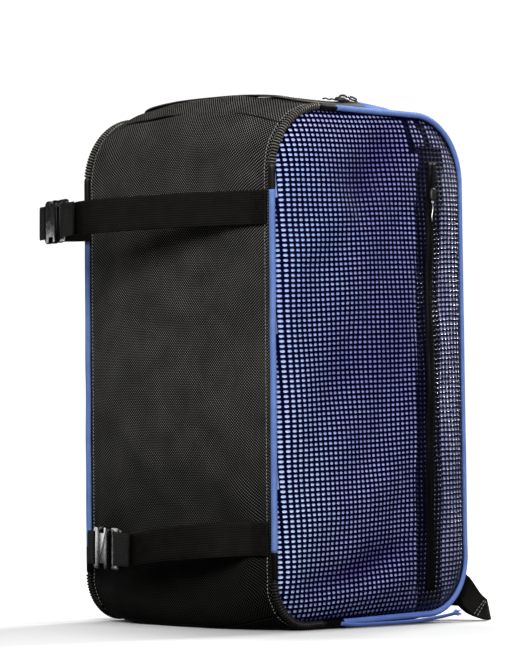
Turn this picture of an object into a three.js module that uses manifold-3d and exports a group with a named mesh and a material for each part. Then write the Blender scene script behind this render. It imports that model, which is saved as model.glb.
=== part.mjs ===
// A dive duffel bag that stands on its end: a black nylon gusset between two mesh sides with piped seams,
// rubber corner guards, two buckled straps across the front and a pair of shoulder straps on the back.
// Millimetres, +Z up, -Y the front. The origin is on the floor, in the middle of the flat bottom.
import * as THREE from "three";
import { mergeVertices } from "three/addons/utils/BufferGeometryUtils.js";
import Module from "manifold-3d";

const wasm = await Module();
wasm.setup();

// Walls and seams
const SEAM_X = 150; // the two piped seams lie in the planes x = SEAM_X and x = -SEAM_X
const CLOTH = 2;
const GAP = 0.5;
const PIPING_RADIUS = 3.5;
const GUARD_BEND_RADIUS = 4.2;
const SEAM_CLEAR = GUARD_BEND_RADIUS + GAP;
const GUSSET_HALF = SEAM_X - SEAM_CLEAR;

// The seam loop in the side view, and the fuller loop that the gusset swells to at its middle
const SEAM_CORNERS = [
  { corner: "front bottom", y: -150, z: 4, radius: 50 },
  { corner: "back bottom", y: 164, z: 13, radius: 64 },
  { corner: "back top", y: 152, z: 580, radius: 76 },
  { corner: "front top", y: -156, z: 580, radius: 77 },
];
const SWELL_CORNERS = [
  { corner: "front bottom", y: -159, z: -6, radius: 32 },
  { corner: "back bottom", y: 168, z: -6, radius: 52 },
  { corner: "back top", y: 158, z: 596, radius: 72 },
  { corner: "front top", y: -164, z: 596, radius: 68 },
];
const SEAM_TOP = 580;
const TOP_SWELL = 16;
const SWELL_POWER = 3;

// Gusset panels: each runs between the middles of two corners, counted in stretches along the loop
const PANELS = [
  { name: "bottom_panel", first: 7.5, last: 9.5, across: 8, along: 12 },
  { name: "back_panel", first: 1.5, last: 3.5, across: 8, along: 12 },
  { name: "top_panel", first: 3.5, last: 5.5, across: 10, along: 16 },
  { name: "front_panel", first: 5.5, last: 7.5, across: 10, along: 16 },
];
const PANEL_SEAM = 0.006; // the gap at a panel's end, in stretches

// Mesh sides
const SIDE_BULGE = 22;
// The bulge is part a shallow dome and part a flat that stands up steeply near the rim
const SIDE_FLAT = { share: 0.55, power: 14 };
const SIDE_MIDDLE = { y: 0, z: 290 };
const WALL_IN = GUSSET_HALF + GAP; // the lining wall's inner face at its rim
const WALL_THICK = 1.6;
const MESH_IN = WALL_IN + WALL_THICK + GAP;
const MESH_THICK = 1;
const SIDE_RINGS = [0.45, 0.8, 0.93, 1];
const STEPS_LINE = 3;
const STEPS_ARC = 5;

// Piping and guards meet at these places on the seam loop
const GUARD_TOP_Z = 484;
const GUARD_TOP_Y = -54;
const GUARD_BOTTOM_Z = 87;
const GUARD_BOTTOM_Y = -43;
const TUBE_SIDES = 8;

// Pocket zip, down each mesh side near the back
const POCKET_ZIP = { top: 526, bottom: 38, middleY: 80, bow: 10, bowReach: 235, width: 16, thick: 1 };
const POCKET_STEPS = 20;
const POCKET_SLIDER = { z: 489, length: 14, width: 9, thick: 4, round: 3, bevel: 0.8 };
const POCKET_PULL = { length: 24, width: 4, thick: 1.2, round: 1.8, bevel: 0.3 };

// Main zip, a U on the top panel that opens it towards the back
const MAIN_ZIP = { legX: 122, crossY: -88, endY: 11, bend: 26, steps: 34 };
const MAIN_TAPE = { width: 26, thick: 1.2, lift: 0.8 };
const MAIN_COIL = { width: 6, thick: 2 };
const MAIN_SLIDER = { y: -14, length: 18, width: 11, thick: 5, round: 3.5, bevel: 1 };
const MAIN_RING = { y: 2.2, height: 4.4, radius: 5.4, wire: 1.05, tilt: 17, wireSides: 6, sides: 16 };
const MAIN_PULL = { y: -34.5, height: 1.4, length: 22, width: 5, thick: 1.6, round: 2, bevel: 0.4 };
const MAIN_TAB = { y: 33, length: 42, width: 22, frontThick: 6, backThick: 1.8 };

// Front straps in 38 mm webbing. The routes start at the seam, in plan and height, and stand off the panel
const WEBBING = { width: 38, thick: 1.6 };
const BAND_STEPS = 3; // facets between two points of a webbing route
const STRAPS = [
  {
    name: "strap_upper",
    buckle: { x: -98, y: -237, z: 457, turn: 157.3 },
    long: [
      { x: 144, y: -157.6, z: 465 },
      { x: 122, y: -162.6, z: 465 },
      { x: 60, y: -193, z: 463.5 },
      { x: 0, y: -226, z: 461 },
      { x: -40, y: -246, z: 458.5 },
      { x: -62, y: -247.5, z: 457.5 },
    ],
    short: [
      { x: -177, y: -194, z: 457 },
      { x: -174, y: -180, z: 457 },
      { x: -163, y: -170, z: 457 },
      { x: -150, y: -164, z: 457 },
      { x: -138, y: -160.2, z: 457 },
    ],
  },
  {
    name: "strap_lower",
    buckle: { x: -58, y: -192.5, z: 87, turn: 161 },
    long: [
      { x: 144, y: -154, z: 102 },
      { x: 122, y: -160, z: 101.5 },
      { x: 92, y: -190, z: 99.5 },
      { x: 50, y: -203, z: 96 },
      { x: 10, y: -206, z: 92 },
      { x: -18, y: -203, z: 88.5 },
    ],
    short: [
      { x: -134, y: -160, z: 87 },
      { x: -144, y: -154.2, z: 87 },
    ],
  },
];

// Side-release buckle, in its own frame: x along the strap from the male bar, y out from the bag, z across
const BUCKLE = { width: 48, plate: 4.4, sleeve: 11, slotWidth: 40, round: 4, bevel: 0.7 };
const MALE = { from: -10, slotFrom: 2, slotTo: 6.5, to: 16 };
const PRONG = { to: 45, width: 6, thick: 4, apart: 14.6 };
const FEMALE = { from: 16.5, sleeveTo: 50, slotFrom: 53, slotTo: 57.5, to: 62, notchFrom: 25, notchTo: 39 };
const CAVITY = { width: 37, thick: 5.6, to: 46.5 };
const NOTCH_DEPTH = 7;
const LAYER = 3.5; // how far a webbing layer lies from a bar's middle
const MALE_TURN = [
  { along: -24, out: -3.3 },
  { along: -6, out: -LAYER },
  { along: 1.6, out: -LAYER },
  { along: 4.3, out: 0 },
  { along: 1.6, out: LAYER },
  { along: -8, out: LAYER },
  { along: -42, out: 3.7 },
];
const FEMALE_TURN = [
  { along: 75, out: LAYER },
  { along: 65, out: LAYER },
  { along: 57, out: LAYER },
  { along: 54.8, out: 0 },
  { along: 57, out: -LAYER },
  { along: 65, out: -LAYER },
  { along: 76, out: -3.2 },
];

// Shoulder straps: a pad, a short loop, a ladder lock and the lower webbing that lies out by the corner
const PAD = { width: 58, narrow: 30, taperFrom: 0.55, thick: 11, end: 4, endShare: 0.12, edge: 0.4 };
const PAD_FACETS = { across: 6, along: 2 };
const PAD_ROUTE = [
  { x: 66, y: 166.5, z: 508 },
  { x: 67, y: 177, z: 470 },
  { x: 70, y: 189, z: 400 },
  { x: 75, y: 194, z: 300 },
  { x: 83, y: 192, z: 200 },
  { x: 95, y: 188, z: 128 },
  { x: 103, y: 186.5, z: 92 },
];
const LOCK = { x: 108, y: 187, bottom: 40, top: 66, slotWidth: 27 };
const LOCK_PLATE = { length: 34, width: LOCK.top - LOCK.bottom, thick: 4.4, round: 4, bevel: 0.7 };
const LOCK_SLOTS = [
  { from: 45, to: 50 },
  { from: 56, to: 61 },
];
const NARROW_WEBBING = { width: 25, thick: 1.6 };
const LOOP_ROUTE = [
  { x: 107, y: 194.2, z: 96 },
  { x: 108, y: 190.6, z: 72 },
  { x: 108, y: 190.5, z: 61.2 },
  { x: 108, y: 187, z: 58 },
  { x: 108, y: 183.5, z: 61.2 },
  { x: 108, y: 182.6, z: 70 },
  { x: 107.5, y: 179, z: 84 },
];
const LOWER_ROUTE = [
  { x: 108, y: 182.6, z: 16 },
  { x: 108, y: 183.5, z: 36 },
  { x: 108, y: 183.5, z: 44.8 },
  { x: 108, y: 187, z: 48 },
  { x: 108, y: 190.5, z: 44.8 },
  { x: 109, y: 191.5, z: 36 },
  { x: 126, y: 194.3, z: 20 },
  { x: 148, y: 194.5, z: 13.6 },
  { x: 160, y: 189, z: 13.2 },
  { x: 160.5, y: 181, z: 14 },
  { x: 152, y: 173.8, z: 23 },
  { x: 139, y: 169, z: 43 },
  { x: 131, y: 169.5, z: 53 },
];
// The lower webbing turns on edge between these fractions, to this direction across it
const LOWER_TWIST = { from: 0.34, to: 0.62, across: { x: 0, y: 0, z: 1 } };

// The loose end of the piping tape, on the floor beside the mesh side
const TAIL_RADIUS = 2.5;
const TAIL_STEPS = 16;
const TAIL_ROUTE = [
  { x: 156.6, y: -52, z: 6 },
  { x: 157.4, y: -40, z: 4.4 },
  { x: 157.6, y: -20, z: 3.6 },
  { x: 157, y: 10, z: 3.6 },
  { x: 156.6, y: 45, z: 3.8 },
  { x: 157.4, y: 80, z: 5 },
  { x: 158.6, y: 110, z: 7.6 },
  { x: 157.6, y: 136, z: 10.6 },
];

// Materials
const FINISHES = {
  nylon: { color: 0x222120, roughness: 0.62, metalness: 0 },
  mesh: { color: 0x2e3466, roughness: 0.5, metalness: 0 },
  lining: { color: 0x4a64c8, roughness: 0.6, metalness: 0 },
  piping: { color: 0x789bd2, roughness: 0.5, metalness: 0 },
  rubber: { color: 0x1d1c1c, roughness: 0.5, metalness: 0 },
  webbing: { color: 0x1c1b19, roughness: 0.7, metalness: 0 },
  plastic: { color: 0x161616, roughness: 0.3, metalness: 0 },
  zip: { color: 0x1a1918, roughness: 0.6, metalness: 0 },
  steel: { color: 0xb8babd, roughness: 0.3, metalness: 1 },
  blackMetal: { color: 0x1b1b1b, roughness: 0.35, metalness: 0.4 },
};

const { degToRad, lerp, smoothstep } = THREE.MathUtils;
const bag = new THREE.Group();

// Helpers for closed meshes

function faceOut(geometry) {
  const place = geometry.getAttribute("position");
  const index = geometry.index.array;
  const [a, b, c] = [new THREE.Vector3(), new THREE.Vector3(), new THREE.Vector3()];
  let volume = 0;
  for (let i = 0; i < index.length; i += 3) {
    a.fromBufferAttribute(place, index[i]);
    b.fromBufferAttribute(place, index[i + 1]);
    c.fromBufferAttribute(place, index[i + 2]);
    volume += a.dot(b.cross(c));
  }
  for (let i = 0; volume < 0 && i < index.length; i += 3) {
    [index[i + 1], index[i + 2]] = [index[i + 2], index[i + 1]];
  }
  geometry.computeVertexNormals();
  return geometry;
}

// Moves every vertex of a closed geometry to the point that place gives for its position and uv
function warp(geometry, place) {
  const at = geometry.getAttribute("position");
  const uv = geometry.getAttribute("uv");
  const vertex = new THREE.Vector3();
  const chart = new THREE.Vector2();
  for (let i = 0; i < at.count; i += 1) {
    vertex.fromBufferAttribute(at, i);
    chart.fromBufferAttribute(uv, i);
    const point = place(vertex, chart);
    at.setXYZ(i, point.x, point.y, point.z);
  }
  geometry.deleteAttribute("normal");
  geometry.deleteAttribute("uv");
  return faceOut(mergeVertices(geometry, 1e-3));
}

function solid(geometry) {
  const bare = geometry.clone();
  bare.deleteAttribute("normal");
  bare.deleteAttribute("uv");
  const merged = mergeVertices(bare, 1e-3);
  const vertProperties = new Float32Array(merged.getAttribute("position").array);
  const triVerts = new Uint32Array(merged.index.array);
  return new wasm.Manifold(new wasm.Mesh({ numProp: 3, vertProperties, triVerts }));
}

function geometryOf(manifold) {
  const mesh = manifold.getMesh();
  const geometry = new THREE.BufferGeometry();
  geometry.setAttribute("position", new THREE.BufferAttribute(new Float32Array(mesh.vertProperties), 3));
  geometry.setIndex(new THREE.BufferAttribute(new Uint32Array(mesh.triVerts), 1));
  geometry.computeVertexNormals();
  return geometry;
}

function add(group, name, geometry, finish) {
  const mesh = new THREE.Mesh(geometry, new THREE.MeshStandardMaterial(FINISHES[finish]));
  mesh.name = name;
  group.add(mesh);
  return mesh;
}

// The loops of the side view

function roundedLoop(corners) {
  const loop = new THREE.Path();
  const at = corners.map((row) => new THREE.Vector2(row.y, row.z));
  const rounds = at.map((point, i) => {
    const before = at[(i + at.length - 1) % at.length];
    const after = at[(i + 1) % at.length];
    const into = point.clone().sub(before).normalize();
    const away = after.clone().sub(point).normalize();
    const turn = Math.acos(into.dot(away));
    const reach = corners[i].radius * Math.tan(turn / 2);
    const start = point.clone().addScaledVector(into, -reach);
    const centre = new THREE.Vector2(-into.y, into.x).multiplyScalar(corners[i].radius).add(start);
    const angle = start.clone().sub(centre).angle();
    const end = point.clone().addScaledVector(away, reach);
    return { start, end, centre, angle, turn, radius: corners[i].radius };
  });
  const order = [...rounds.slice(1), rounds[0]];
  loop.moveTo(rounds[0].end.x, rounds[0].end.y);
  for (const round of order) {
    loop.lineTo(round.start.x, round.start.y);
    loop.absarc(round.centre.x, round.centre.y, round.radius, round.angle, round.angle + round.turn, false);
  }
  loop.curves = loop.curves.filter((curve) => curve.getLength() > 1e-3);
  return loop;
}

const seamLoop = roundedLoop(SEAM_CORNERS);
const swellLoop = roundedLoop(SWELL_CORNERS);
const seamEnds = seamLoop.getCurveLengths();
const SEAM_LENGTH = seamLoop.getLength();
const STRETCHES = seamEnds.length;

function outward(tangent) {
  return new THREE.Vector2(tangent.y, -tangent.x);
}

// A point and the outward direction at a distance along the seam loop
function seamAt(distance) {
  const share = (((distance % SEAM_LENGTH) + SEAM_LENGTH) % SEAM_LENGTH) / SEAM_LENGTH;
  return { point: seamLoop.getPoint(share), out: outward(seamLoop.getTangent(share)) };
}

// The same on any loop, where 2.5 is half way along its third stretch
function loopAt(loop, position) {
  const turned = position % STRETCHES;
  const curve = loop.curves[Math.floor(turned)];
  const share = turned - Math.floor(turned);
  return { point: curve.getPointAt(share), out: outward(curve.getTangentAt(share)) };
}

// Distances along the seam loop at a height on the front, and at a depth on the top or bottom
const frontLine = seamLoop.curves[6];
const topLine = seamLoop.curves[4];
const bottomLine = seamLoop.curves[0];
const onFront = (z) => seamEnds[5] + (frontLine.v1.y - z);
const onTop = (y) => seamEnds[3] + (topLine.v1.x - y);
const onBottom = (y) => y - bottomLine.v1.x;

// Distances of the facet edges on the seam loop, for two turns round it
function facetDistances() {
  const distances = [];
  for (let turn = 0; turn < 2; turn += 1) {
    seamEnds.forEach((end, i) => {
      const start = i ? seamEnds[i - 1] : 0;
      const steps = i % 2 ? STEPS_ARC : STEPS_LINE;
      for (let step = 0; step < steps; step += 1) {
        distances.push(turn * SEAM_LENGTH + start + ((end - start) * step) / steps);
      }
    });
  }
  return distances;
}

const facets = facetDistances();

// Gusset panels

function swellShare(x) {
  return 1 - Math.abs(x / GUSSET_HALF) ** SWELL_POWER;
}

// A point of the gusset; lift moves it out from the cloth's outer face. The floor flattens it
function gussetPoint(position, x, lift) {
  const seam = loopAt(seamLoop, position);
  const swell = loopAt(swellLoop, position);
  const share = swellShare(x);
  const point = seam.point.lerp(swell.point, share);
  const out = seam.out.lerp(swell.out, share).normalize();
  point.addScaledVector(out, lift);
  return new THREE.Vector3(x, point.x, Math.max(point.y, -lift));
}

for (const panel of PANELS) {
  const box = new THREE.BoxGeometry(1, 1, 1, panel.across, panel.along, 1);
  const first = panel.first + PANEL_SEAM;
  const reach = panel.last - panel.first - 2 * PANEL_SEAM;
  const cloth = warp(box, (vertex) => {
    const position = first + (vertex.y + 0.5) * reach;
    return gussetPoint(position, vertex.x * 2 * GUSSET_HALF, vertex.z > 0 ? 0 : -CLOTH);
  });
  add(bag, panel.name, cloth, "nylon");
}

// Mesh sides, made for the right and mirrored for the left

const rim = facets.slice(0, facets.length / 2).map((distance) => {
  const { point, out } = seamAt(distance);
  return point.addScaledVector(out, -SEAM_CLEAR);
});
const middle = new THREE.Vector2(SIDE_MIDDLE.y, SIDE_MIDDLE.z);

// How far a point lies from the middle of a side towards its rim, from 0 to 1
function rimShare(y, z) {
  const ray = new THREE.Vector2(y, z).sub(middle);
  for (let i = 0; i < rim.length; i += 1) {
    const from = rim[i].clone().sub(middle);
    const to = rim[(i + 1) % rim.length].clone().sub(middle);
    const turn = from.cross(to);
    const [p, q] = [ray.cross(to) / turn, from.cross(ray) / turn];
    if (p >= 0 && q >= 0) return p + q;
  }
  return 0;
}

function bulge(share) {
  const flat = SIDE_FLAT.share * (1 - share ** SIDE_FLAT.power);
  return SIDE_BULGE * (flat + (1 - SIDE_FLAT.share) * (1 - share ** 2));
}

function sideSkin(innerX, thick) {
  const outer = [0, ...SIDE_RINGS].map((share) => new THREE.Vector2(share, 1));
  const inner = [...SIDE_RINGS].reverse().map((share) => new THREE.Vector2(share, 0));
  const profile = [...outer, ...inner, new THREE.Vector2(0, 0)];
  return warp(new THREE.LatheGeometry(profile, rim.length), (vertex, chart) => {
    const share = Math.hypot(vertex.x, vertex.z);
    const edge = rim[Math.round(chart.x * rim.length) % rim.length];
    const point = middle.clone().lerp(edge, share);
    return new THREE.Vector3(innerX + (vertex.y > 0.5 ? thick : 0) + bulge(share), point.x, point.y);
  });
}

function seamTube(distances, radii) {
  const last = distances.length - 1;
  const tube = new THREE.CylinderGeometry(1, 1, 1, TUBE_SIDES, last);
  return warp(tube, (vertex) => {
    const ring = Math.round((vertex.y + 0.5) * last);
    const { point, out } = seamAt(distances[ring]);
    point.addScaledVector(out, vertex.x * radii[ring]);
    return new THREE.Vector3(SEAM_X + vertex.z * radii[ring], point.x, point.y);
  });
}

function pipingRun(from, to) {
  const between = facets.filter((distance) => distance > from + 1 && distance < to - 1);
  const distances = [from + GAP, ...between, to - GAP];
  return seamTube(distances, distances.map(() => PIPING_RADIUS));
}

function guardRun(from, to) {
  const between = facets.filter((distance) => distance > from + 6 && distance < to - 6);
  const distances = [from, ...between, to];
  return seamTube(
    distances,
    distances.map((distance, i) => (i > 0 && i < distances.length - 1 ? GUARD_BEND_RADIUS : PIPING_RADIUS)),
  );
}

function pocketZipPoint(along, across, lift) {
  const z = POCKET_ZIP.bottom + along * (POCKET_ZIP.top - POCKET_ZIP.bottom);
  const bow = POCKET_ZIP.bow * ((z - SIDE_MIDDLE.z) / POCKET_ZIP.bowReach) ** 4;
  const y = POCKET_ZIP.middleY + bow + across;
  const x = MESH_IN + MESH_THICK + bulge(rimShare(y, z)) + GAP + lift;
  return new THREE.Vector3(x, y, z);
}

function pocketZipTape() {
  const box = new THREE.BoxGeometry(1, 1, 1, 2, POCKET_STEPS, 1);
  return warp(box, (vertex) => {
    const lift = vertex.z > 0 ? POCKET_ZIP.thick : 0;
    return pocketZipPoint(vertex.y + 0.5, vertex.x * POCKET_ZIP.width, lift);
  });
}

// A flat piece with round corners and chamfered rims, length along x and thickness along z
function slab({ length, width, thick, round: radius, bevel }) {
  const [a, b] = [length / 2, width / 2];
  const shape = new THREE.Shape();
  shape.moveTo(a - radius, -b);
  shape.absarc(a - radius, radius - b, radius, -Math.PI / 2, 0, false);
  shape.absarc(a - radius, b - radius, radius, 0, Math.PI / 2, false);
  shape.absarc(radius - a, b - radius, radius, Math.PI / 2, Math.PI, false);
  shape.absarc(radius - a, radius - b, radius, Math.PI, Math.PI * 1.5, false);
  const depth = thick - 2 * bevel;
  const options = { depth, bevelThickness: bevel, bevelSize: bevel, bevelOffset: -bevel, bevelSegments: 1 };
  const geometry = new THREE.ExtrudeGeometry(shape, { ...options, curveSegments: 1 });
  return geometry.translate(0, 0, -depth / 2);
}

function meshSide(suffix) {
  const side = new THREE.Group();
  add(side, `side_wall_${suffix}`, sideSkin(WALL_IN, WALL_THICK), "lining");
  add(side, `side_mesh_${suffix}`, sideSkin(MESH_IN, MESH_THICK), "mesh");
  add(side, `piping_front_${suffix}`, pipingRun(onFront(GUARD_TOP_Z), onFront(GUARD_BOTTOM_Z)), "piping");
  add(side, `piping_back_${suffix}`, pipingRun(onBottom(GUARD_BOTTOM_Y), onTop(GUARD_TOP_Y)), "piping");
  add(side, `guard_top_${suffix}`, guardRun(onTop(GUARD_TOP_Y), onFront(GUARD_TOP_Z)), "rubber");
  const bottomEnd = SEAM_LENGTH + onBottom(GUARD_BOTTOM_Y);
  add(side, `guard_bottom_${suffix}`, guardRun(onFront(GUARD_BOTTOM_Z), bottomEnd), "rubber");
  add(side, `pocket_zip_tape_${suffix}`, pocketZipTape(), "zip");

  const along = (POCKET_SLIDER.z - POCKET_ZIP.bottom) / (POCKET_ZIP.top - POCKET_ZIP.bottom);
  const pullDrop = (POCKET_SLIDER.length + POCKET_PULL.length) / 2 + GAP;
  const fall = pullDrop / (POCKET_ZIP.top - POCKET_ZIP.bottom);
  const lift = POCKET_ZIP.thick + 2 * GAP + POCKET_SLIDER.thick / 2;
  const nearby = 0.01;
  const pieces = [
    { name: `pocket_zip_slider_${suffix}`, size: POCKET_SLIDER, at: along, finish: "blackMetal" },
    { name: `pocket_zip_pull_${suffix}`, size: POCKET_PULL, at: along - fall, finish: "steel" },
  ];
  for (const piece of pieces) {
    const mesh = add(side, piece.name, slab(piece.size), piece.finish);
    const below = pocketZipPoint(piece.at - nearby, 0, 0);
    const above = pocketZipPoint(piece.at + nearby, 0, 0);
    const upright = above.sub(below).normalize();
    const across = new THREE.Vector3(0, 1, 0).projectOnPlane(upright).normalize();
    const out = new THREE.Vector3().crossVectors(upright, across).negate();
    mesh.quaternion.setFromRotationMatrix(new THREE.Matrix4().makeBasis(upright, across.negate(), out));
    mesh.position.copy(pocketZipPoint(piece.at, 0, lift));
  }
  return side;
}

const rightSide = meshSide("right");
const leftSide = meshSide("left");
leftSide.scale.x = -1;
bag.add(rightSide, leftSide);

// Main zip on the top panel

function topHeight(x) {
  return SEAM_TOP + TOP_SWELL * swellShare(x);
}

function mainZipCourse() {
  const { legX, crossY, endY, bend } = MAIN_ZIP;
  const course = new THREE.Path();
  course.moveTo(legX, endY);
  course.lineTo(legX, crossY + bend);
  course.absarc(legX - bend, crossY + bend, bend, 0, -Math.PI / 2, true);
  course.lineTo(bend - legX, crossY);
  course.absarc(bend - legX, crossY + bend, bend, -Math.PI / 2, -Math.PI, true);
  course.lineTo(-legX, endY);
  return course;
}

const mainCourse = mainZipCourse();

function mainZipStrip({ width, thick }, lift, acrossSteps) {
  const box = new THREE.BoxGeometry(1, 1, 1, acrossSteps, MAIN_ZIP.steps, 1);
  return warp(box, (vertex) => {
    const share = vertex.y + 0.5;
    const point = mainCourse.getPoint(share);
    point.addScaledVector(outward(mainCourse.getTangent(share)), vertex.x * width);
    return new THREE.Vector3(point.x, point.y, topHeight(point.x) + lift + (vertex.z > 0 ? thick : 0));
  });
}

const coilLift = MAIN_TAPE.lift + MAIN_TAPE.thick + GAP;
const sliderLift = coilLift + MAIN_COIL.thick + GAP;
add(bag, "main_zip_tape", mainZipStrip(MAIN_TAPE, MAIN_TAPE.lift, 2), "zip");
add(bag, "main_zip_coil", mainZipStrip(MAIN_COIL, coilLift, 1), "zip");

const coilHalf = MAIN_COIL.width / 2;
const coilFall = topHeight(MAIN_ZIP.legX - coilHalf) - topHeight(MAIN_ZIP.legX + coilHalf);
const topTilt = Math.atan(coilFall / MAIN_COIL.width);
const zipTop = new THREE.Group();
zipTop.position.set(MAIN_ZIP.legX, 0, topHeight(MAIN_ZIP.legX) + sliderLift);
zipTop.rotation.y = topTilt;
bag.add(zipTop);

const slider = slab(MAIN_SLIDER);
slider.rotateZ(Math.PI / 2).translate(0, MAIN_SLIDER.y, MAIN_SLIDER.thick / 2);
add(zipTop, "main_zip_slider", slider, "blackMetal");
const ring = new THREE.TorusGeometry(MAIN_RING.radius, MAIN_RING.wire, MAIN_RING.wireSides, MAIN_RING.sides);
ring.rotateY(degToRad(MAIN_RING.tilt)).translate(0, MAIN_RING.y, MAIN_RING.height);
add(zipTop, "main_zip_ring", ring, "blackMetal");
const pull = slab(MAIN_PULL);
pull.rotateZ(Math.PI / 2).translate(0, MAIN_PULL.y, MAIN_PULL.height);
add(zipTop, "main_zip_pull", pull, "webbing");

function mainTab() {
  const box = new THREE.BoxGeometry(1, 1, 1, 4, 4, 1);
  return warp(box, (vertex) => {
    const x = MAIN_ZIP.legX + vertex.x * MAIN_TAB.width;
    const y = MAIN_TAB.y + vertex.y * MAIN_TAB.length;
    const thick = lerp(MAIN_TAB.frontThick, MAIN_TAB.backThick, vertex.y + 0.5);
    return new THREE.Vector3(x, y, topHeight(x) + MAIN_TAPE.lift + (vertex.z > 0 ? thick : 0));
  });
}

for (const [suffix, sign] of [["right", 1], ["left", -1]]) {
  add(bag, `main_zip_tab_${suffix}`, mainTab(), "piping").scale.x = sign;
}

// Webbing: a band along a smooth route, with its width along the direction that across gives

const UP = new THREE.Vector3(0, 0, 1);
const SIDEWAYS = new THREE.Vector3(1, 0, 0);

function band(route, stepsEach, widthAt, thickAt, acrossAt, acrossSteps = 1, edge = 1) {
  const curve = new THREE.CatmullRomCurve3(route.map((row) => new THREE.Vector3(row.x, row.y, row.z)));
  const steps = (route.length - 1) * stepsEach;
  const box = new THREE.BoxGeometry(1, 1, 1, 1, acrossSteps, steps);
  return warp(box, (vertex) => {
    const share = vertex.z + 0.5;
    const tangent = curve.getTangent(share);
    const across = acrossAt(share).clone().projectOnPlane(tangent).normalize();
    const out = new THREE.Vector3().crossVectors(tangent, across);
    const thin = 1 - (1 - edge) * Math.abs(2 * vertex.y) ** 3;
    const point = curve.getPoint(share);
    point.addScaledVector(across, vertex.y * widthAt(share));
    return point.addScaledVector(out, vertex.x * thickAt(share) * thin);
  });
}

const always = (value) => () => value;

// Front straps with their fastened buckles

function block(from, to, width, thick, across = 0) {
  const box = new THREE.BoxGeometry(to - from, thick, width);
  return solid(box.translate((from + to) / 2, 0, across));
}

function plate(from, to, thick) {
  const shape = slab({ ...BUCKLE, length: to - from, thick });
  return solid(shape.rotateX(Math.PI / 2).translate((from + to) / 2, 0, 0));
}

function buckleMale() {
  const frame = plate(MALE.from, MALE.to, BUCKLE.plate);
  let male = frame.subtract(block(MALE.slotFrom, MALE.slotTo, BUCKLE.slotWidth, BUCKLE.plate * 2));
  for (const side of [-1, 0, 1]) {
    const prong = block(MALE.to - 1, PRONG.to, PRONG.width, PRONG.thick, side * PRONG.apart);
    male = male.add(prong);
  }
  return geometryOf(male);
}

function buckleFemale() {
  const sleeve = plate(FEMALE.from, FEMALE.sleeveTo, BUCKLE.sleeve);
  const tail = plate(FEMALE.sleeveTo - BUCKLE.round, FEMALE.to, BUCKLE.plate);
  let female = sleeve.add(tail).subtract(block(FEMALE.from - 1, CAVITY.to, CAVITY.width, CAVITY.thick));
  female = female.subtract(block(FEMALE.slotFrom, FEMALE.slotTo, BUCKLE.slotWidth, BUCKLE.sleeve));
  for (const side of [-1, 1]) {
    const place = (side * (BUCKLE.width - NOTCH_DEPTH + 1)) / 2;
    const notch = block(FEMALE.notchFrom, FEMALE.notchTo, NOTCH_DEPTH + 1, BUCKLE.sleeve * 2, place);
    female = female.subtract(notch);
  }
  return geometryOf(female);
}

for (const strap of STRAPS) {
  const { buckle } = strap;
  const group = new THREE.Group();
  group.position.set(buckle.x, buckle.y, buckle.z);
  group.rotation.z = degToRad(buckle.turn);
  group.updateMatrix();
  add(group, `${strap.name}_buckle_male`, buckleMale(), "plastic");
  add(group, `${strap.name}_buckle_female`, buckleFemale(), "plastic");
  bag.add(group);

  const place = (row) => new THREE.Vector3(row.along, row.out, 0).applyMatrix4(group.matrix);
  const longRoute = [...strap.long, ...MALE_TURN.map(place)];
  const shortRoute = [...FEMALE_TURN.map(place), ...strap.short];
  const [width, thick] = [always(WEBBING.width), always(WEBBING.thick)];
  add(bag, `${strap.name}_webbing_long`, band(longRoute, BAND_STEPS, width, thick, always(UP)), "webbing");
  add(bag, `${strap.name}_webbing_short`, band(shortRoute, BAND_STEPS, width, thick, always(UP)), "webbing");
}

// Shoulder straps, made for the right and mirrored for the left

function ladderLock() {
  const frame = slab(LOCK_PLATE);
  frame.rotateX(Math.PI / 2).translate(LOCK.x, LOCK.y, (LOCK.top + LOCK.bottom) / 2);
  let lock = solid(frame);
  for (const slot of LOCK_SLOTS) {
    const box = new THREE.BoxGeometry(LOCK.slotWidth, LOCK_PLATE.thick * 2, slot.to - slot.from);
    lock = lock.subtract(solid(box.translate(LOCK.x, LOCK.y, (slot.from + slot.to) / 2)));
  }
  return geometryOf(lock);
}

function padWidth(share) {
  return lerp(PAD.width, PAD.narrow, smoothstep(share, PAD.taperFrom, 1));
}

function padThick(share) {
  const fromEnd = Math.min(share, 1 - share);
  return lerp(PAD.end, PAD.thick, smoothstep(fromEnd, 0, PAD.endShare));
}

function lowerAcross(share) {
  const turn = smoothstep(share, LOWER_TWIST.from, LOWER_TWIST.to);
  return SIDEWAYS.clone().lerp(LOWER_TWIST.across, turn);
}

function shoulderStrap(suffix) {
  const strap = new THREE.Group();
  const [width, thick] = [always(NARROW_WEBBING.width), always(NARROW_WEBBING.thick)];
  const { across, along } = PAD_FACETS;
  const pad = band(PAD_ROUTE, along, padWidth, padThick, always(SIDEWAYS), across, PAD.edge);
  const loop = band(LOOP_ROUTE, BAND_STEPS, width, thick, always(SIDEWAYS));
  const lower = band(LOWER_ROUTE, BAND_STEPS, width, thick, lowerAcross);
  add(strap, `shoulder_pad_${suffix}`, pad, "nylon");
  add(strap, `shoulder_loop_${suffix}`, loop, "webbing");
  add(strap, `shoulder_lock_${suffix}`, ladderLock(), "plastic");
  add(strap, `shoulder_webbing_${suffix}`, lower, "webbing");
  return strap;
}

const rightStrap = shoulderStrap("right");
const leftStrap = shoulderStrap("left");
leftStrap.scale.x = -1;
bag.add(rightStrap, leftStrap);

// Loose piping tape on the floor

function pipingTail() {
  const section = new THREE.Shape();
  section.absarc(0, 0, TAIL_RADIUS, 0, Math.PI * 2, false);
  const route = new THREE.CatmullRomCurve3(TAIL_ROUTE.map((row) => new THREE.Vector3(row.x, row.y, row.z)));
  const facetsRound = { curveSegments: TUBE_SIDES / 2, bevelEnabled: false };
  return new THREE.ExtrudeGeometry(section, { extrudePath: route, steps: TAIL_STEPS, ...facetsRound });
}

add(bag, "piping_tail", pipingTail(), "piping");

export default bag;
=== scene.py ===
import math

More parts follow.
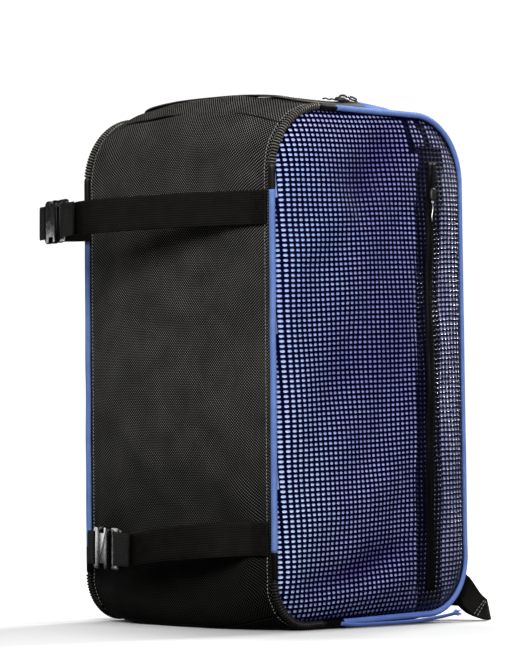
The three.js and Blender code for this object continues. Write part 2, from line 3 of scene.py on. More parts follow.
import bmesh
import bpy
import numpy as np
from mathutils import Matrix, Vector, noise


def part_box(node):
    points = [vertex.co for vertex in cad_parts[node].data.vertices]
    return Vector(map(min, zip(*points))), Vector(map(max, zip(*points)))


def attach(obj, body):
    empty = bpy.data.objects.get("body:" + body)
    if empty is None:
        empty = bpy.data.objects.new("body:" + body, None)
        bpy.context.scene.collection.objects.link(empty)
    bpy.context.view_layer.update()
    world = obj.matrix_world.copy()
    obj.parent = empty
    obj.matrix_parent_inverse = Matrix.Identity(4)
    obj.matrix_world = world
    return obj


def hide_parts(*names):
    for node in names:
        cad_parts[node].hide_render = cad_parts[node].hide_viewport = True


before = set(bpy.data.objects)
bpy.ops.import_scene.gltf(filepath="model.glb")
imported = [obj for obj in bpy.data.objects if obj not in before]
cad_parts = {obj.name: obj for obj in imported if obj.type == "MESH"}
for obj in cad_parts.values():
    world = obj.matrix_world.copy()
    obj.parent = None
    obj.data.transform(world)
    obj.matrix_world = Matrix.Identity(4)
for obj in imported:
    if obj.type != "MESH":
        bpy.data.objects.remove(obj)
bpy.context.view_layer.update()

# Lengths are millimetres in the tables and meshes below; new_piece turns them into metres
MM = 0.001
TINY = 1e-9
SIDES = (("right", 1), ("left", -1))
RIGHTWARD = np.array((1.0, 0.0, 0.0))
BACKWARD = np.array((0.0, 1.0, 0.0))
UPWARD = np.array((0.0, 0.0, 1.0))

# Camera: place and far end in metres, angles in degrees
CAMERA = {"place": (2.826, -2.854, 0.220), "turn": 45.0, "tilt": 1.74, "lens": 192.7, "sensor": 36.0,
          "far": 60}

# The seam loop in the side view, and the fuller loop that the gusset swells to at its middle.
# The corners are front bottom, back bottom, back top and front top
SEAM_X = 150.0
SEAM_CORNERS = (
    {"y": -150, "z": 4, "radius": 50},
    {"y": 164, "z": 13, "radius": 64},
    {"y": 152, "z": 580, "radius": 76},
    {"y": -156, "z": 580, "radius": 77},
)
SWELL_CORNERS = (
    {"y": -159, "z": -6, "radius": 32},
    {"y": 168, "z": -6, "radius": 52},
    {"y": 158, "z": 596, "radius": 72},
    {"y": -164, "z": 596, "radius": 68},
)
SEAM_TOP = SEAM_CORNERS[2]["z"]
TOP_SWELL = SWELL_CORNERS[2]["z"] - SEAM_TOP
SWELL_POWER = 3
SEAM_CLEAR = 4.7
GUSSET_HALF = SEAM_X - SEAM_CLEAR

# Gusset panels, as stretches of the seam loop; crowd is how far their columns gather at the seams
CLOTH = 1.8
PANELS = (
    {"name": "bottom_panel", "first": 7.5, "last": 9.5, "across": 60, "along": 70},
    {"name": "back_panel", "first": 1.5, "last": 3.5, "across": 90, "along": 120},
    {"name": "top_panel", "first": 3.5, "last": 5.5, "across": 110, "along": 90},
    {"name": "front_panel", "first": 5.5, "last": 7.5, "across": 120, "along": 150},
)
PANEL_SEAM = 0.006
PANEL_CROWD = 0.45
WELT = {"from_seam": 5.0, "width": 1.6, "height": 0.9, "stitch": 1.25}
WANDER = {"scale": 60.0, "seed": 3.3}
PUCKER = {"wave": 23, "height": 0.5, "reach": 13, "wander": 5, "clear": (0, 5)}
# Slack folds that run across each panel: wavelength and height, and how they lean
SLACK = (
    {"wave": 118, "height": 1.3, "lean": 0.55, "phase": 0.3},
    {"wave": 73, "height": 0.8, "lean": -0.8, "phase": 1.7},
    {"wave": 41, "height": 0.35, "lean": 0.25, "phase": 4.1},
)
SLACK_CLEAR = (6, 45)
SLACK_WANDER = 22
BILLOW = {"scale": 85.0, "seed": 9.1, "height": 1.6}
# Where the straps pull on the front panel, and how far the drag folds reach
ANCHORS = (
    {"x": 144, "z": 102, "reach": 75, "height": 3.6, "folds": 5, "turn": 0.4},
    {"x": 144, "z": 465, "reach": 60, "height": 1.2, "folds": 5, "turn": 1.1},
    {"x": -144, "z": 87, "reach": 70, "height": 2.2, "folds": 5, "turn": 2.0},
    {"x": -144, "z": 457, "reach": 60, "height": 1.2, "folds": 5, "turn": 0.2},
)
ANCHOR_CLEAR = (4, 30)
ANCHOR_SEAM_CLEAR = (2, 18)

# Mesh sides. The bulge is part a shallow dome and part a flat that stands up steeply near the rim
SIDE_MIDDLE = np.array((0.0, 290.0))
SIDE_BULGE = 22.0
SIDE_FLAT = {"share": 0.55, "power": 14}
PAST_RIM = 1.06
RIM_STEPS = 1600
WALL_OUT = GUSSET_HALF + 2.1
MESH_OUT = WALL_OUT + 1.5
LINING_DISC = {"thick": 1.2, "rings": 44, "first": 0.02, "around": 240}
RIPPLES = (
    {"wave_y": 210, "wave_z": 330, "height": 1.4, "phase": 0.6},
    {"wave_y": -95, "wave_z": 160, "height": 0.7, "phase": 2.2},
    {"wave_y": 60, "wave_z": 85, "height": 0.35, "phase": 5.0},
)
# Long soft folds of a mesh side: a ridge, or a valley where the height is below zero. The lining is painted
# with shade in the valleys and light on the ridges
SIDE_FOLDS = (
    {"from": (-125, 38), "to": (65, 94), "wide": 17, "height": -4.2},
    {"from": (-95, 8), "to": (45, 48), "wide": 14, "height": 2.4},
    {"from": (-115, 105), "to": (40, 175), "wide": 26, "height": 2.8},
    {"from": (-135, 405), "to": (-35, 478), "wide": 20, "height": 2.6},
    {"from": (-50, 470), "to": (40, 560), "wide": 30, "height": -4.0},
    {"from": (-120, 250), "to": (40, 350), "wide": 40, "height": -1.8},
)
FOLD_GROWS = (-0.15, 0.3)
FOLD_FADES = (0.7, 1.15)
RIPPLE_CALM = 0.25
FOLD_CALM = 0.12
LATTICE = {"pitch_y": 6.9, "pitch_z": 5.5, "tilt": 3.0, "columns": 52, "rows": 112, "inside": 2.4}
# The points round a cell, and its hole at the top and the bottom of the strands
CELL_CORNERS = np.array(((-1, -1), (0, -1), (1, -1), (1, 0), (1, 1), (0, 1), (-1, 1), (-1, 0)), float)
HOLES = (
    {"corner": 0.26, "middle": 0.335, "lift": 0.1},
    {"corner": 0.245, "middle": 0.315, "lift": -0.3},
)
HOLE_STRETCH = (1.1, 0.96)
CREST = {"crossing": 0.85, "strand": 0.65}
DRIFT = {"scale": 95.0, "size": 0.45, "aside": (0.3, 0.61, 0.4), "above": (0.57, -0.23, 1.9)}

# Piping and corner guards, and the places on the seam loop where they meet
PIPING_TUBE = {"radius": 3.5, "slim": 0.9, "step": 4, "sides": 14, "wander": 0.5}
WANDER_ASIDE = {"scale": 55.0, "seed": 1.7}
WANDER_OUTWARD = {"scale": 70.0, "seed": 5.2}
GUARD = {"top_z": 484.0, "top_y": -54.0, "bottom_z": 87.0, "bottom_y": -43.0, "sides": 18}
GUARD_END = {"proud": 0.15, "slim": 0.5, "nose": 0.6, "clear": 2, "steps": 8}
RIB = {"pitch": 3.3, "radius": 4.25, "depth": 2.0, "power": 1.3, "samples": 6, "plain": 0.2}
RIBS_PAST_BEND = {"top": -5.0, "top_front": -10.0, "bottom_front": 0.0, "bottom": 22.0}
FLANGE = {"inset": 0.3, "lap": 1.0, "thick": 1.0, "floor": 1.6, "steps": 320}

# Pocket zips: the course that tape and binding share, then the strips themselves
POCKET = {"middle_y": 80.0, "bow": 10.0, "bow_reach": 235.0, "bow_power": 4, "rows": 140}
POCKET_TAPE = {"half": 7.0, "gap": 0.35, "thick": 0.9, "lift": 1.3, "crown": 0.5, "columns": 6,
               "bottom": 38.0, "top": 526.0}
POCKET_BINDING = {"half": 21.0, "thick": 0.5, "lift": -0.7, "crown": 0.0, "columns": 14,
                  "bottom": 14.0, "top": 545.0}
POCKET_SEAM = {"inset": 1.4, "ends": 2, "lift": 0.35, "points": 160}
# Above the zip the binding parts into two arms, each a line of y and z
BINDING_ARMS = (((64, 536), (59, 553), (61, 578)), ((91, 536), (87, 556), (78, 578)))
BINDING_ARM = {"width": 10, "columns": 5, "sink": 0.05}
SLIDER_EDGE = 0.6
PULL_WIRE = {"radius": 0.6, "sway": 0.9, "eye": 1.4, "aside": 0.3, "points": 24, "eye_points": 20}

# Main zip: a U of tape, with the number of points on a leg, a bend and the cross run
MAIN_ZIP = {"leg_x": 122.0, "cross_y": -88.0, "end_y": 11.0, "bend": 26.0}
MAIN_ZIP_POINTS = {"leg": 24, "bend": 14, "cross": 60}
MAIN_TAPE = {"half": 13.0, "gap": 1.6, "thick": 1.1, "lift": 1.9, "columns": 7}
# The zip stands up in a ridge under its slider
RISE = {"y": -2.0, "reach": 17.0, "height": 2.6}
TOOTH = {"first": 0.8, "pitch": 1.25, "length": 4.2, "radius": 0.62, "shift": 0.9, "lift": 3.3, "sides": 6}
# Places along a tooth, and how thick it is there
TOOTH_STATIONS = np.array(((-0.5, 0.3), (-0.36, 0.9), (0.0, 1.0), (0.36, 0.9), (0.5, 0.3)))
ZIP_LIFT = 5.0
# The slider's body, in sections along the zip: half width, underside and top
SLIDER_SECTIONS = (
    {"y": -23.0, "half": 2.4, "low": 0.7, "high": 2.8},
    {"y": -22.3, "half": 4.2, "low": 0.3, "high": 4.2},
    {"y": -19.0, "half": 5.5, "low": 0.0, "high": 4.9},
    {"y": -14.5, "half": 5.2, "low": 0.0, "high": 4.6},
    {"y": -10.0, "half": 4.3, "low": 0.1, "high": 4.8},
    {"y": -6.2, "half": 3.7, "low": 0.3, "high": 4.0},
    {"y": -5.2, "half": 2.2, "low": 0.8, "high": 2.8},
)
SLIDER_ROUND = {"sides": 16, "power": 0.55}
SLIDER_BRIDGE = ((0, -20.5, 4.0), (0, -18, 6.4), (0, -12.5, 7.0), (0, -8, 6.2), (0, -6, 3.6))
BRIDGE_RADIUS = 1.3
RING = {"y": 2.2, "height": 4.4, "radius": 5.4, "wire": 1.05, "tilt": 17.0, "points": 32, "sides": 10}
PULL = {"from": -23.8, "to": -45.4, "height": 1.5, "width": 4.6, "thick": 1.5, "wave": 11.0, "sway": 0.5,
        "taper": 0.35, "across": (1, 0, -0.23), "points": 30}
TAB = {"from": 12.0, "to": 54.0, "width": 22.0, "front": 6.0, "back": 1.8, "lift": 0.8, "thins": 0.8,
       "rows": 28, "columns": 17}
TAB_EDGE = {"power": 8, "drop": 0.6, "front_drop": 0.7, "front_reach": 1 / 30}
TAB_CREASE = {"depth": 0.7, "from": 0.35, "slant": 0.5, "wide": 0.12, "thick": (2, 4)}
TAB_SEAM = {"columns": (2, -3), "lift": 0.2, "up": (0.2, 0.0, 1.0)}

# Front straps: 38 mm webbing with side-release buckles
WEBBING = {"width": 38.0, "thick": 1.6}
NARROW = {"width": 25.0, "thick": 1.6}
STRAPS = (
    {
        "name": "strap_upper",
        "buckle": (-98.0, -237.0, 457.0),
        "turn": 157.3,
        "long": ((144, -157.6, 465), (122, -162.6, 465), (60, -193, 463.5), (0, -226, 461),
                 (-40, -246, 458.5), (-62, -247.5, 457.5)),
        "short": ((-177, -194, 457), (-174, -180, 457), (-163, -170, 457), (-150, -164, 457),
                  (-138, -160.2, 457)),
    },
    {
        "name": "strap_lower",
        "buckle": (-58.0, -192.5, 87.0),
        "turn": 161.0,
        "long": ((144, -154, 102), (122, -160, 101.5), (92, -190, 99.5), (50, -203, 96), (10, -206, 92),
                 (-18, -203, 88.5)),
        "short": ((-134, -160, 87), (-144, -154.2, 87)),
    },
)
# How the webbing turns round a buckle's bars: along the buckle and out from it
LAYER = 3.5
MALE_TURN = ((-24, -3.3), (-6, -LAYER), (1.6, -LAYER), (4.3, 0), (1.6, LAYER), (-8, LAYER), (-42, 3.7))
FEMALE_TURN = ((75, LAYER), (65, LAYER), (57, LAYER), (54.8, 0), (57, -LAYER), (65, -LAYER), (76, -3.2))
SEWN_BOX = {"long": (3.0, 20.0), "short": (4.0, 13.0), "half": 15.0, "points": 12}
BUCKLE_EDGE = 0.7

# Shoulder straps
PAD = {"width": 56.0, "narrow": 29.0, "taper_from": 0.55, "thick": 9.0, "end": 4.5, "end_share": 0.12}
PAD_BINDING = {"radius": 1.7, "sides": 10, "ends": 2}
FILLING = {"voxel": 3.4, "pressure": 4.0, "frames": 20, "most": 2.5}
CHANNEL = {"across": 0.74, "depth": 0.45, "wide": 2.6, "sink": 0.1, "ends": 4}
PAD_ROUTE = ((66, 166.5, 508), (67, 177, 470), (70, 189, 400), (75, 194, 300), (83, 192, 200), (95, 188, 128),
             (103, 186.5, 92))
LOOP_ROUTE = ((107, 194.2, 96), (108, 190.6, 72), (108, 190.5, 61.2), (108, 187, 58), (108, 183.5, 61.2),
              (108, 182.6, 70), (107.5, 179, 84))
LOWER_ROUTE = ((108, 182.6, 16), (108, 183.5, 36), (108, 183.5, 44.8), (108, 187, 48), (108, 190.5, 44.8),
               (109, 191.5, 36), (126, 194.3, 20), (148, 194.5, 13.6), (160, 189, 13.2), (160.5, 181, 14),
               (152, 173.8, 23), (139, 169, 43), (131, 169.5, 53))
LOWER_TWIST = {"from": 0.34, "to": 0.62, "across": np.array((-0.24, 0, 0.97))}
# The hem that laps the bend of the lower webbing: from and to in shares of its length
HEM = {"from": 0.665, "to": 0.8, "gap": 0.1, "stitch_rows": (0.06, 0.82, 0.94), "row_half": 0.46,
       "points": 12}

# The loose end of the piping tape on the floor, and the fibres that it frays into
TAIL = {"width": 5.0, "thick": 2.4, "across": (0.55, 0, 0.83), "steps": 8}
TAIL_ROUTE = ((156.6, -52, 6), (157.4, -40, 4.4), (157.6, -20, 3.6), (157, 10, 3.6), (156.6, 45, 3.8),
              (157.4, 80, 5), (158.6, 110, 7.6), (157.6, 136, 10.6))
FRAY = {"seed": 7, "fibres": 44, "length": (5.0, 10.0), "radius": 0.4, "sides": 5, "points": 7, "lap": 1.5,
        "wide": 2.2, "high": 1.7, "spread": 0.5, "lift": (-0.3, 0.45), "wave": 6, "sway": 1.2, "rise": 0.3}

# Rounded edges of hard pieces: angles in degrees, the weld in metres
BEVEL = {"weld": 1e-6, "flat": 2, "sharp": 30, "shade": 50, "segments": 3, "profile": 0.5}

# Tubes that run more upright than this have their sections set from the side, not from above
STEEP = 0.8

# Bands, routes and stitches that the pieces share
ROUTE_STEPS = 10
BRIDGE_STEPS = 6
EDGE_THINS = 0.8
SLIM_BAND = {"columns": 9, "edge_power": 4}
PAD_BAND = {"columns": 17, "edge_power": 3}
STITCH = {"pitch": 4.2, "length": 3.1, "radius": 0.36, "rise": 0.25, "sides": 5}
# Places along a stitch, how thick it is there and how far it stands up
STITCH_STATIONS = np.array(((-0.5, 0.35, -1.4), (-0.3, 0.9, 0.2), (0.0, 1.0, 1.0), (0.3, 0.9, 0.2),
                            (0.5, 0.35, -1.4)))
NYLON_CELL = {"across": 1.7, "along": 1.85}

# Floor and light, in metres and watts
FLOOR_REACH = 6.0
FLOOR_CLEARS = (0.9, 2.6)
# A painted shadow on the floor: darker round a point under the bag, pale further out
FLOOR_SHADE = {"at": (0.2, -0.04, 0), "reach": (0.12, 0.38), "dark": (0.53,) * 3, "pale": (0.95,) * 3}
LAMPS = (
    {"name": "key_softbox", "place": (1.9, -2.55, 1.8), "size": (1.4, 1.4), "power": 98.0},
    {"name": "side_softbox", "place": (3.1, -0.25, 1.3), "size": (1.8, 1.8), "power": 62.0},
    {"name": "left_softbox", "place": (-1.7, -2.6, 1.2), "size": (0.9, 1.8), "power": 12.0},
    {"name": "edge_softbox", "place": (-3.0, -0.15, 0.2), "size": (0.8, 0.5), "power": 8.0},
    {"name": "back_softbox", "place": (-0.75, 2.6, 1.55), "size": (0.6, 0.6), "power": 60.0},
    {"name": "rim_softbox", "place": (0.15, 2.4, 1.9), "size": (0.5, 0.5), "power": 90.0},
    {"name": "top_softbox", "place": (0.0, 0.0, 3.2), "size": (3.0, 3.0), "power": 40.0},
)
AIM = Vector((0.0, 0.0, 0.3))
SURROUND = 0.06
BACKDROP = 1.05


# Numbers

def smoothstep(value, low, high):
    share = np.clip((np.asarray(value, float) - low) / (high - low), 0, 1)
    return share * share * (3 - 2 * share)


def bell(value, width):
    return np.exp(-(value / width) ** 2)


def unit(vectors):
    vectors = np.asarray(vectors, float)
    return vectors / np.maximum(np.linalg.norm(vectors, axis=-1, keepdims=True), TINY)


def heading(course):
    """Which way a line runs at each of its points."""
    return unit(np.gradient(course, axis=0))


def square_to(ahead, directions):
    """Directions turned to stand square to the way ahead."""
    directions = np.broadcast_to(np.asarray(directions, float), ahead.shape)
    return unit(directions - ahead * (directions * ahead).sum(axis=1, keepdims=True))


def rough(points, grain):
    """Smooth noise from -1 to 1 at each point."""
    flat = np.asarray(points, float).reshape(-1, 3) / grain["scale"] + grain["seed"]
    values = [noise.noise(Vector(point)) for point in flat.tolist()]
    return np.array(values).reshape(np.shape(points)[:-1])


def smooth_route(points, steps=ROUTE_STEPS):
    """A centripetal curve through the points, with the given steps between two of them."""
    at = np.asarray(points, float)
    at = np.vstack([2 * at[0] - at[1], at, 2 * at[-1] - at[-2]])
    share = np.linspace(0, 1, steps, endpoint=False)[:, None]
    course = []
    for before, start, end, after in zip(at, at[1:], at[2:], at[3:]):
        gaps = [math.sqrt(np.linalg.norm(b - a)) for a, b in ((before, start), (start, end), (end, after))]
        leave = (start - before) / gaps[0] - (end - before) / (gaps[0] + gaps[1]) + (end - start) / gaps[1]
        reach = (end - start) / gaps[1] - (after - start) / (gaps[1] + gaps[2]) + (after - end) / gaps[2]
        leave, reach = leave * gaps[1], reach * gaps[1]
        square = 3 * (end - start) - 2 * leave - reach
        cube = 2 * (start - end) + leave + reach
        course.append(start + leave * share + square * share ** 2 + cube * share ** 3)
    return np.vstack([*course, at[-2:-1]])


def travelled(points):
    steps = np.linalg.norm(np.diff(points, axis=0), axis=1)
    return np.concatenate([[0.0], np.cumsum(steps)])


def at_lengths(where, length, rows):
    """Rows of numbers that belong to a line, at the given distances along it."""
    return np.stack([np.interp(where, length, column) for column in np.asarray(rows).T], axis=-1)


def mirrored(points, sign):
    return points * np.array((sign, 1, 1))


# The loops of the side view

class Loop:
    """A rounded outline in the side view: straight and round stretches in turn, from the bottom on."""

    def __init__(self, corners):
        at = np.array([(row["y"], row["z"]) for row in corners], float)
        self.radius = np.array([row["radius"] for row in corners], float)
        into = unit(at - np.roll(at, 1, axis=0))
        away = unit(np.roll(at, -1, axis=0) - at)
        self.turn = np.arccos((into * away).sum(axis=1))
        reach = (self.radius * np.tan(self.turn / 2))[:, None]
        self.start = at - into * reach
        self.end = at + away * reach
        self.centre = self.start + np.stack([-into[:, 1], into[:, 0]], axis=1) * self.radius[:, None]
        spoke = self.start - self.centre
        self.angle = np.arctan2(spoke[:, 1], spoke[:, 0])
        lengths = []
        for k in range(4):
            after = (k + 1) % 4
            lengths.append(np.linalg.norm(self.start[after] - self.end[k]))
            lengths.append(self.radius[after] * self.turn[after])
        self.ends = np.cumsum(lengths)
        self.length = self.ends[-1]

    def at(self, position):
        """Points and outward directions; position 2.5 is half way along the third stretch."""
        position = np.asarray(position, float) % 8
        stretch = np.minimum(np.floor(position).astype(int), 7)
        share = (position - stretch)[..., None]
        first, after = stretch // 2, (stretch // 2 + 1) % 4
        run = self.start[after] - self.end[first]
        straight = self.end[first] + run * share
        side = unit(np.stack([run[..., 1], -run[..., 0]], axis=-1))
        angle = self.angle[after] + self.turn[after] * share[..., 0]
        spoke = np.stack([np.cos(angle), np.sin(angle)], axis=-1)
        bend = self.centre[after] + spoke * self.radius[after][..., None]
        line = (stretch % 2 == 0)[..., None]
        return np.where(line, straight, bend), np.where(line, side, spoke)

    def at_distance(self, distance):
        known = np.concatenate([[0.0], self.ends])
        return self.at(np.interp(np.asarray(distance, float) % self.length, known, np.arange(9.0)))


SEAM = Loop(SEAM_CORNERS)
SWELL = Loop(SWELL_CORNERS)


def on_front(z):
    return SEAM.ends[5] + SEAM.end[3][1] - z


def on_top(y):
    return SEAM.ends[3] + SEAM.end[2][0] - y


def on_bottom(y):
    return y - SEAM.end[0][0]


# Meshes

def placed(name, data):
    """Puts a mesh, lamp or camera into the scene."""
    made = bpy.data.objects.new(name, data)
    bpy.context.scene.collection.objects.link(made)
    return made


def new_piece(name, points, faces, chart=None):
    points = np.asarray(points, float).reshape(-1, 3) * MM
    mesh = bpy.data.meshes.new(name)
    mesh.from_pydata(points.tolist(), [], [list(face) for face in faces])
    if chart is not None:
        corner = np.zeros(len(mesh.loops), np.int32)
        mesh.loops.foreach_get("vertex_index", corner)
        layer = mesh.uv_layers.new(name="weave")
        layer.data.foreach_set("uv", np.asarray(chart, np.float32).reshape(-1, 2)[corner].ravel())
    mesh.polygons.foreach_set("use_smooth", [True] * len(mesh.polygons))
    mesh.update()
    return placed(name, mesh)


def mesh_points(piece):
    flat = np.zeros(len(piece.data.vertices) * 3, np.float32)
    piece.data.vertices.foreach_get("co", flat)
    return flat.reshape(-1, 3) / MM


def dress(piece, material, slot, *nodes):
    piece.data.materials.clear()
    piece.data.materials.append(material)
    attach(piece, "root")
    if nodes:
        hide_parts(*nodes)
    return piece


def joined(bodies):
    """Several bodies' points and faces as one."""
    points, faces, start = [], [], 0
    for body_points, body_faces in bodies:
        points.append(body_points)
        faces.extend([[corner + start for corner in face] for face in body_faces])
        start += len(body_points)
    return np.concatenate(points), faces


def body_piece(name, bodies, material, slot):
    """One dressed piece of several bodies, all at the chart's origin."""
    points, faces = joined(bodies)
    return dress(new_piece(name, points, faces, np.zeros((len(points), 2))), material, slot)


def grid_faces(rows, columns, wrap=False):
    """Quads of a grid of points, numbered row by row. wrap joins the last column to the first."""
    r, c = np.meshgrid(np.arange(rows - 1), np.arange(columns if wrap else columns - 1), indexing="ij")
    here, below, d = r * columns, (r + 1) * columns, (c + 1) % columns
    return np.stack([here + c, below + c, below + d, here + d], axis=-1).reshape(-1, 4)


def grid_normals(grid):
    return unit(np.cross(np.gradient(grid, axis=0), np.gradient(grid, axis=1)))


def closed_sheet(name, outer, thick, chart, flip=False):
    """A sheet with a thickness, from the grid of its outer face. flip turns its faces round."""
    normal = grid_normals(outer) * (-1 if flip else 1)
    return closed_pair(name, outer, outer - normal * thick, chart, flip)


def closed_pair(name, outer, inner, chart, flip=False):
    """A closed body between two grids of points that have the same edge."""
    rows, columns = outer.shape[:2]
    count = rows * columns
    front = grid_faces(rows, columns)
    edge = np.concatenate([
        np.arange(columns), (np.arange(1, rows) + 1) * columns - 1,
        np.arange(columns - 2, -1, -1) + (rows - 1) * columns, np.arange(rows - 2, 0, -1) * columns])
    after = np.roll(edge, -1)
    rim = np.stack([edge, after, after + count, edge + count], axis=-1)
    faces = np.concatenate([front, front[:, ::-1] + count, rim])
    if flip:
        faces = faces[:, ::-1]
    points = np.concatenate([outer.reshape(-1, 3), inner.reshape(-1, 3)])
    return new_piece(name, points, faces, np.concatenate([chart.reshape(-1, 2)] * 2))


def closed_disc(name, outer, thick, chart, flip=False):
    """A round sheet with a thickness, from the rings of its outer face, the smallest first."""
    rings, sides = outer.shape[:2]
    around = np.roll(outer, -1, axis=1) - np.roll(outer, 1, axis=1)
    normal = unit(np.cross(np.gradient(outer, axis=0), around)) * (-1 if flip else 1)
    count = rings * sides
    front = grid_faces(rings, sides, wrap=True)
    edge = np.arange(sides) + count - sides
    after = np.roll(edge, -1)
    rim = np.stack([after, edge, edge + count, after + count], axis=-1)
    faces = np.concatenate([front, front[:, ::-1] + count, rim]).tolist()
    faces.append(list(range(sides)))
    faces.append(list(range(count, count + sides))[::-1])
    if flip:
        faces = [face[::-1] for face in faces]
    points = np.concatenate([outer.reshape(-1, 3), (outer - normal * thick).reshape(-1, 3)])
    return new_piece(name, points, faces, np.concatenate([chart.reshape(-1, 2)] * 2))


def softened(node_name, name, edge):
    """A copy of a hard piece with its edges rounded, so that they catch the light."""
    work = bmesh.new()
    work.from_mesh(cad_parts[node_name].data)
    flat, sharp, shade = (math.radians(BEVEL[key]) for key in ("flat", "sharp", "shade"))
    bmesh.ops.remove_doubles(work, verts=work.verts, dist=BEVEL["weld"])
    bmesh.ops.dissolve_limit(work, angle_limit=flat, verts=work.verts, edges=work.edges)
    corners = [line for line in work.edges if line.calc_face_angle(0) > sharp]
    bmesh.ops.bevel(work, geom=corners, offset=edge * MM, segments=BEVEL["segments"],
                    profile=BEVEL["profile"], affect="EDGES", clamp_overlap=True)
    mesh = bpy.data.meshes.new(name)
    work.to_mesh(mesh)
    work.free()
    mesh.polygons.foreach_set("use_smooth", [True] * len(mesh.polygons))
    mesh.set_sharp_from_angle(angle=shade)
    return placed(name, mesh)


def swept(rings):
    """Points and faces of a closed body through rings of points, each as long as the next."""
    count, sides = rings.shape[:2]
    faces = grid_faces(count, sides, wrap=True).tolist()
    faces.append(list(range(sides)))
    faces.append(list(range((count - 1) * sides, count * sides))[::-1])
    return rings.reshape(-1, 3), faces


def tube_rings(centres, first, second, radii, sides):
    """Round sections about the centres, each across the two directions given there."""
    angle = np.linspace(0, 2 * math.pi, sides, endpoint=False)
    reach = np.broadcast_to(np.asarray(radii, float), (len(centres),))[:, None, None]
    spokes = np.cos(angle)[None, :, None] * first[:, None] + np.sin(angle)[None, :, None] * second[:, None]
    return centres[:, None] + spokes * reach


def free_tube(centres, radii, sides=8):
    """A round tube along any line of points."""
    ahead = heading(centres)
    first = unit(np.cross(ahead, np.where(np.abs(ahead[:, 2:]) > STEEP, RIGHTWARD, UPWARD)))
    return swept(tube_rings(centres, first, np.cross(first, ahead), radii, sides))


def strap_piece(name, course, across, width, thick, columns=13, edge_power=14):
    """A strap along course with its width along across."""
    course = np.asarray(course, float)
    ahead = heading(course)
    across = square_to(ahead, across)
    out = np.cross(ahead, across)
    width = np.broadcast_to(np.asarray(width, float), (len(course),))[:, None, None]
    thick = np.broadcast_to(np.asarray(thick, float), (len(course),))[:, None, None]
    place = np.sin(np.linspace(-0.5, 0.5, columns) * math.pi) * 0.5
    height = 0.5 * (1 - np.abs(2 * place) ** edge_power * EDGE_THINS)
    place = np.concatenate([place, place[::-1]])[None, :, None]
    height = np.concatenate([height, -height[::-1]])[None, :, None]
    rings = course[:, None] + across[:, None] * place * width + out[:, None] * height * thick
    aside = np.broadcast_to((place * width)[..., 0], rings.shape[:2])
    along = np.broadcast_to(travelled(course)[:, None], rings.shape[:2])
    points, faces = swept(rings)
    return new_piece(name, points, faces, np.stack([aside, along], axis=-1))


def stitch_row(course, up, size=1.0):
    """Stitches along a line on a surface that faces up, as small spindles that dip at their ends."""
    length = travelled(course)
    up = np.broadcast_to(up, course.shape)
    share, reach, dip = STITCH_STATIONS.T
    bodies = []
    for middle in np.arange(STITCH["pitch"] / 2, length[-1], STITCH["pitch"]):
        where = middle + share * STITCH["length"]
        line = at_lengths(where, length, course)
        normal = unit(at_lengths(where, length, up))
        aside = np.cross(normal, heading(line))
        line = line + normal * (dip * STITCH["rise"] * size)[:, None]
        radii = reach * STITCH["radius"] * size
        bodies.append(swept(tube_rings(line, normal, aside, radii, STITCH["sides"])))
    return bodies


# Materials

class Value:
    """A number in a material's node graph that can be added and multiplied as plain numbers are."""

    def __init__(self, paint, socket):
        self.paint = paint
        self.socket = socket

    def __add__(self, other):
        return self.paint.math("ADD", self, other)

    def __sub__(self, other):
        return self.paint.math("SUBTRACT", self, other)

    def __rsub__(self, other):
        return self.paint.math("SUBTRACT", other, self)

    def __mul__(self, other):
        return self.paint.math("MULTIPLY", self, other)

    def __pow__(self, other):
        return self.paint.math("POWER", self, other)

    def __abs__(self):
        return self.paint.math("ABSOLUTE", self)


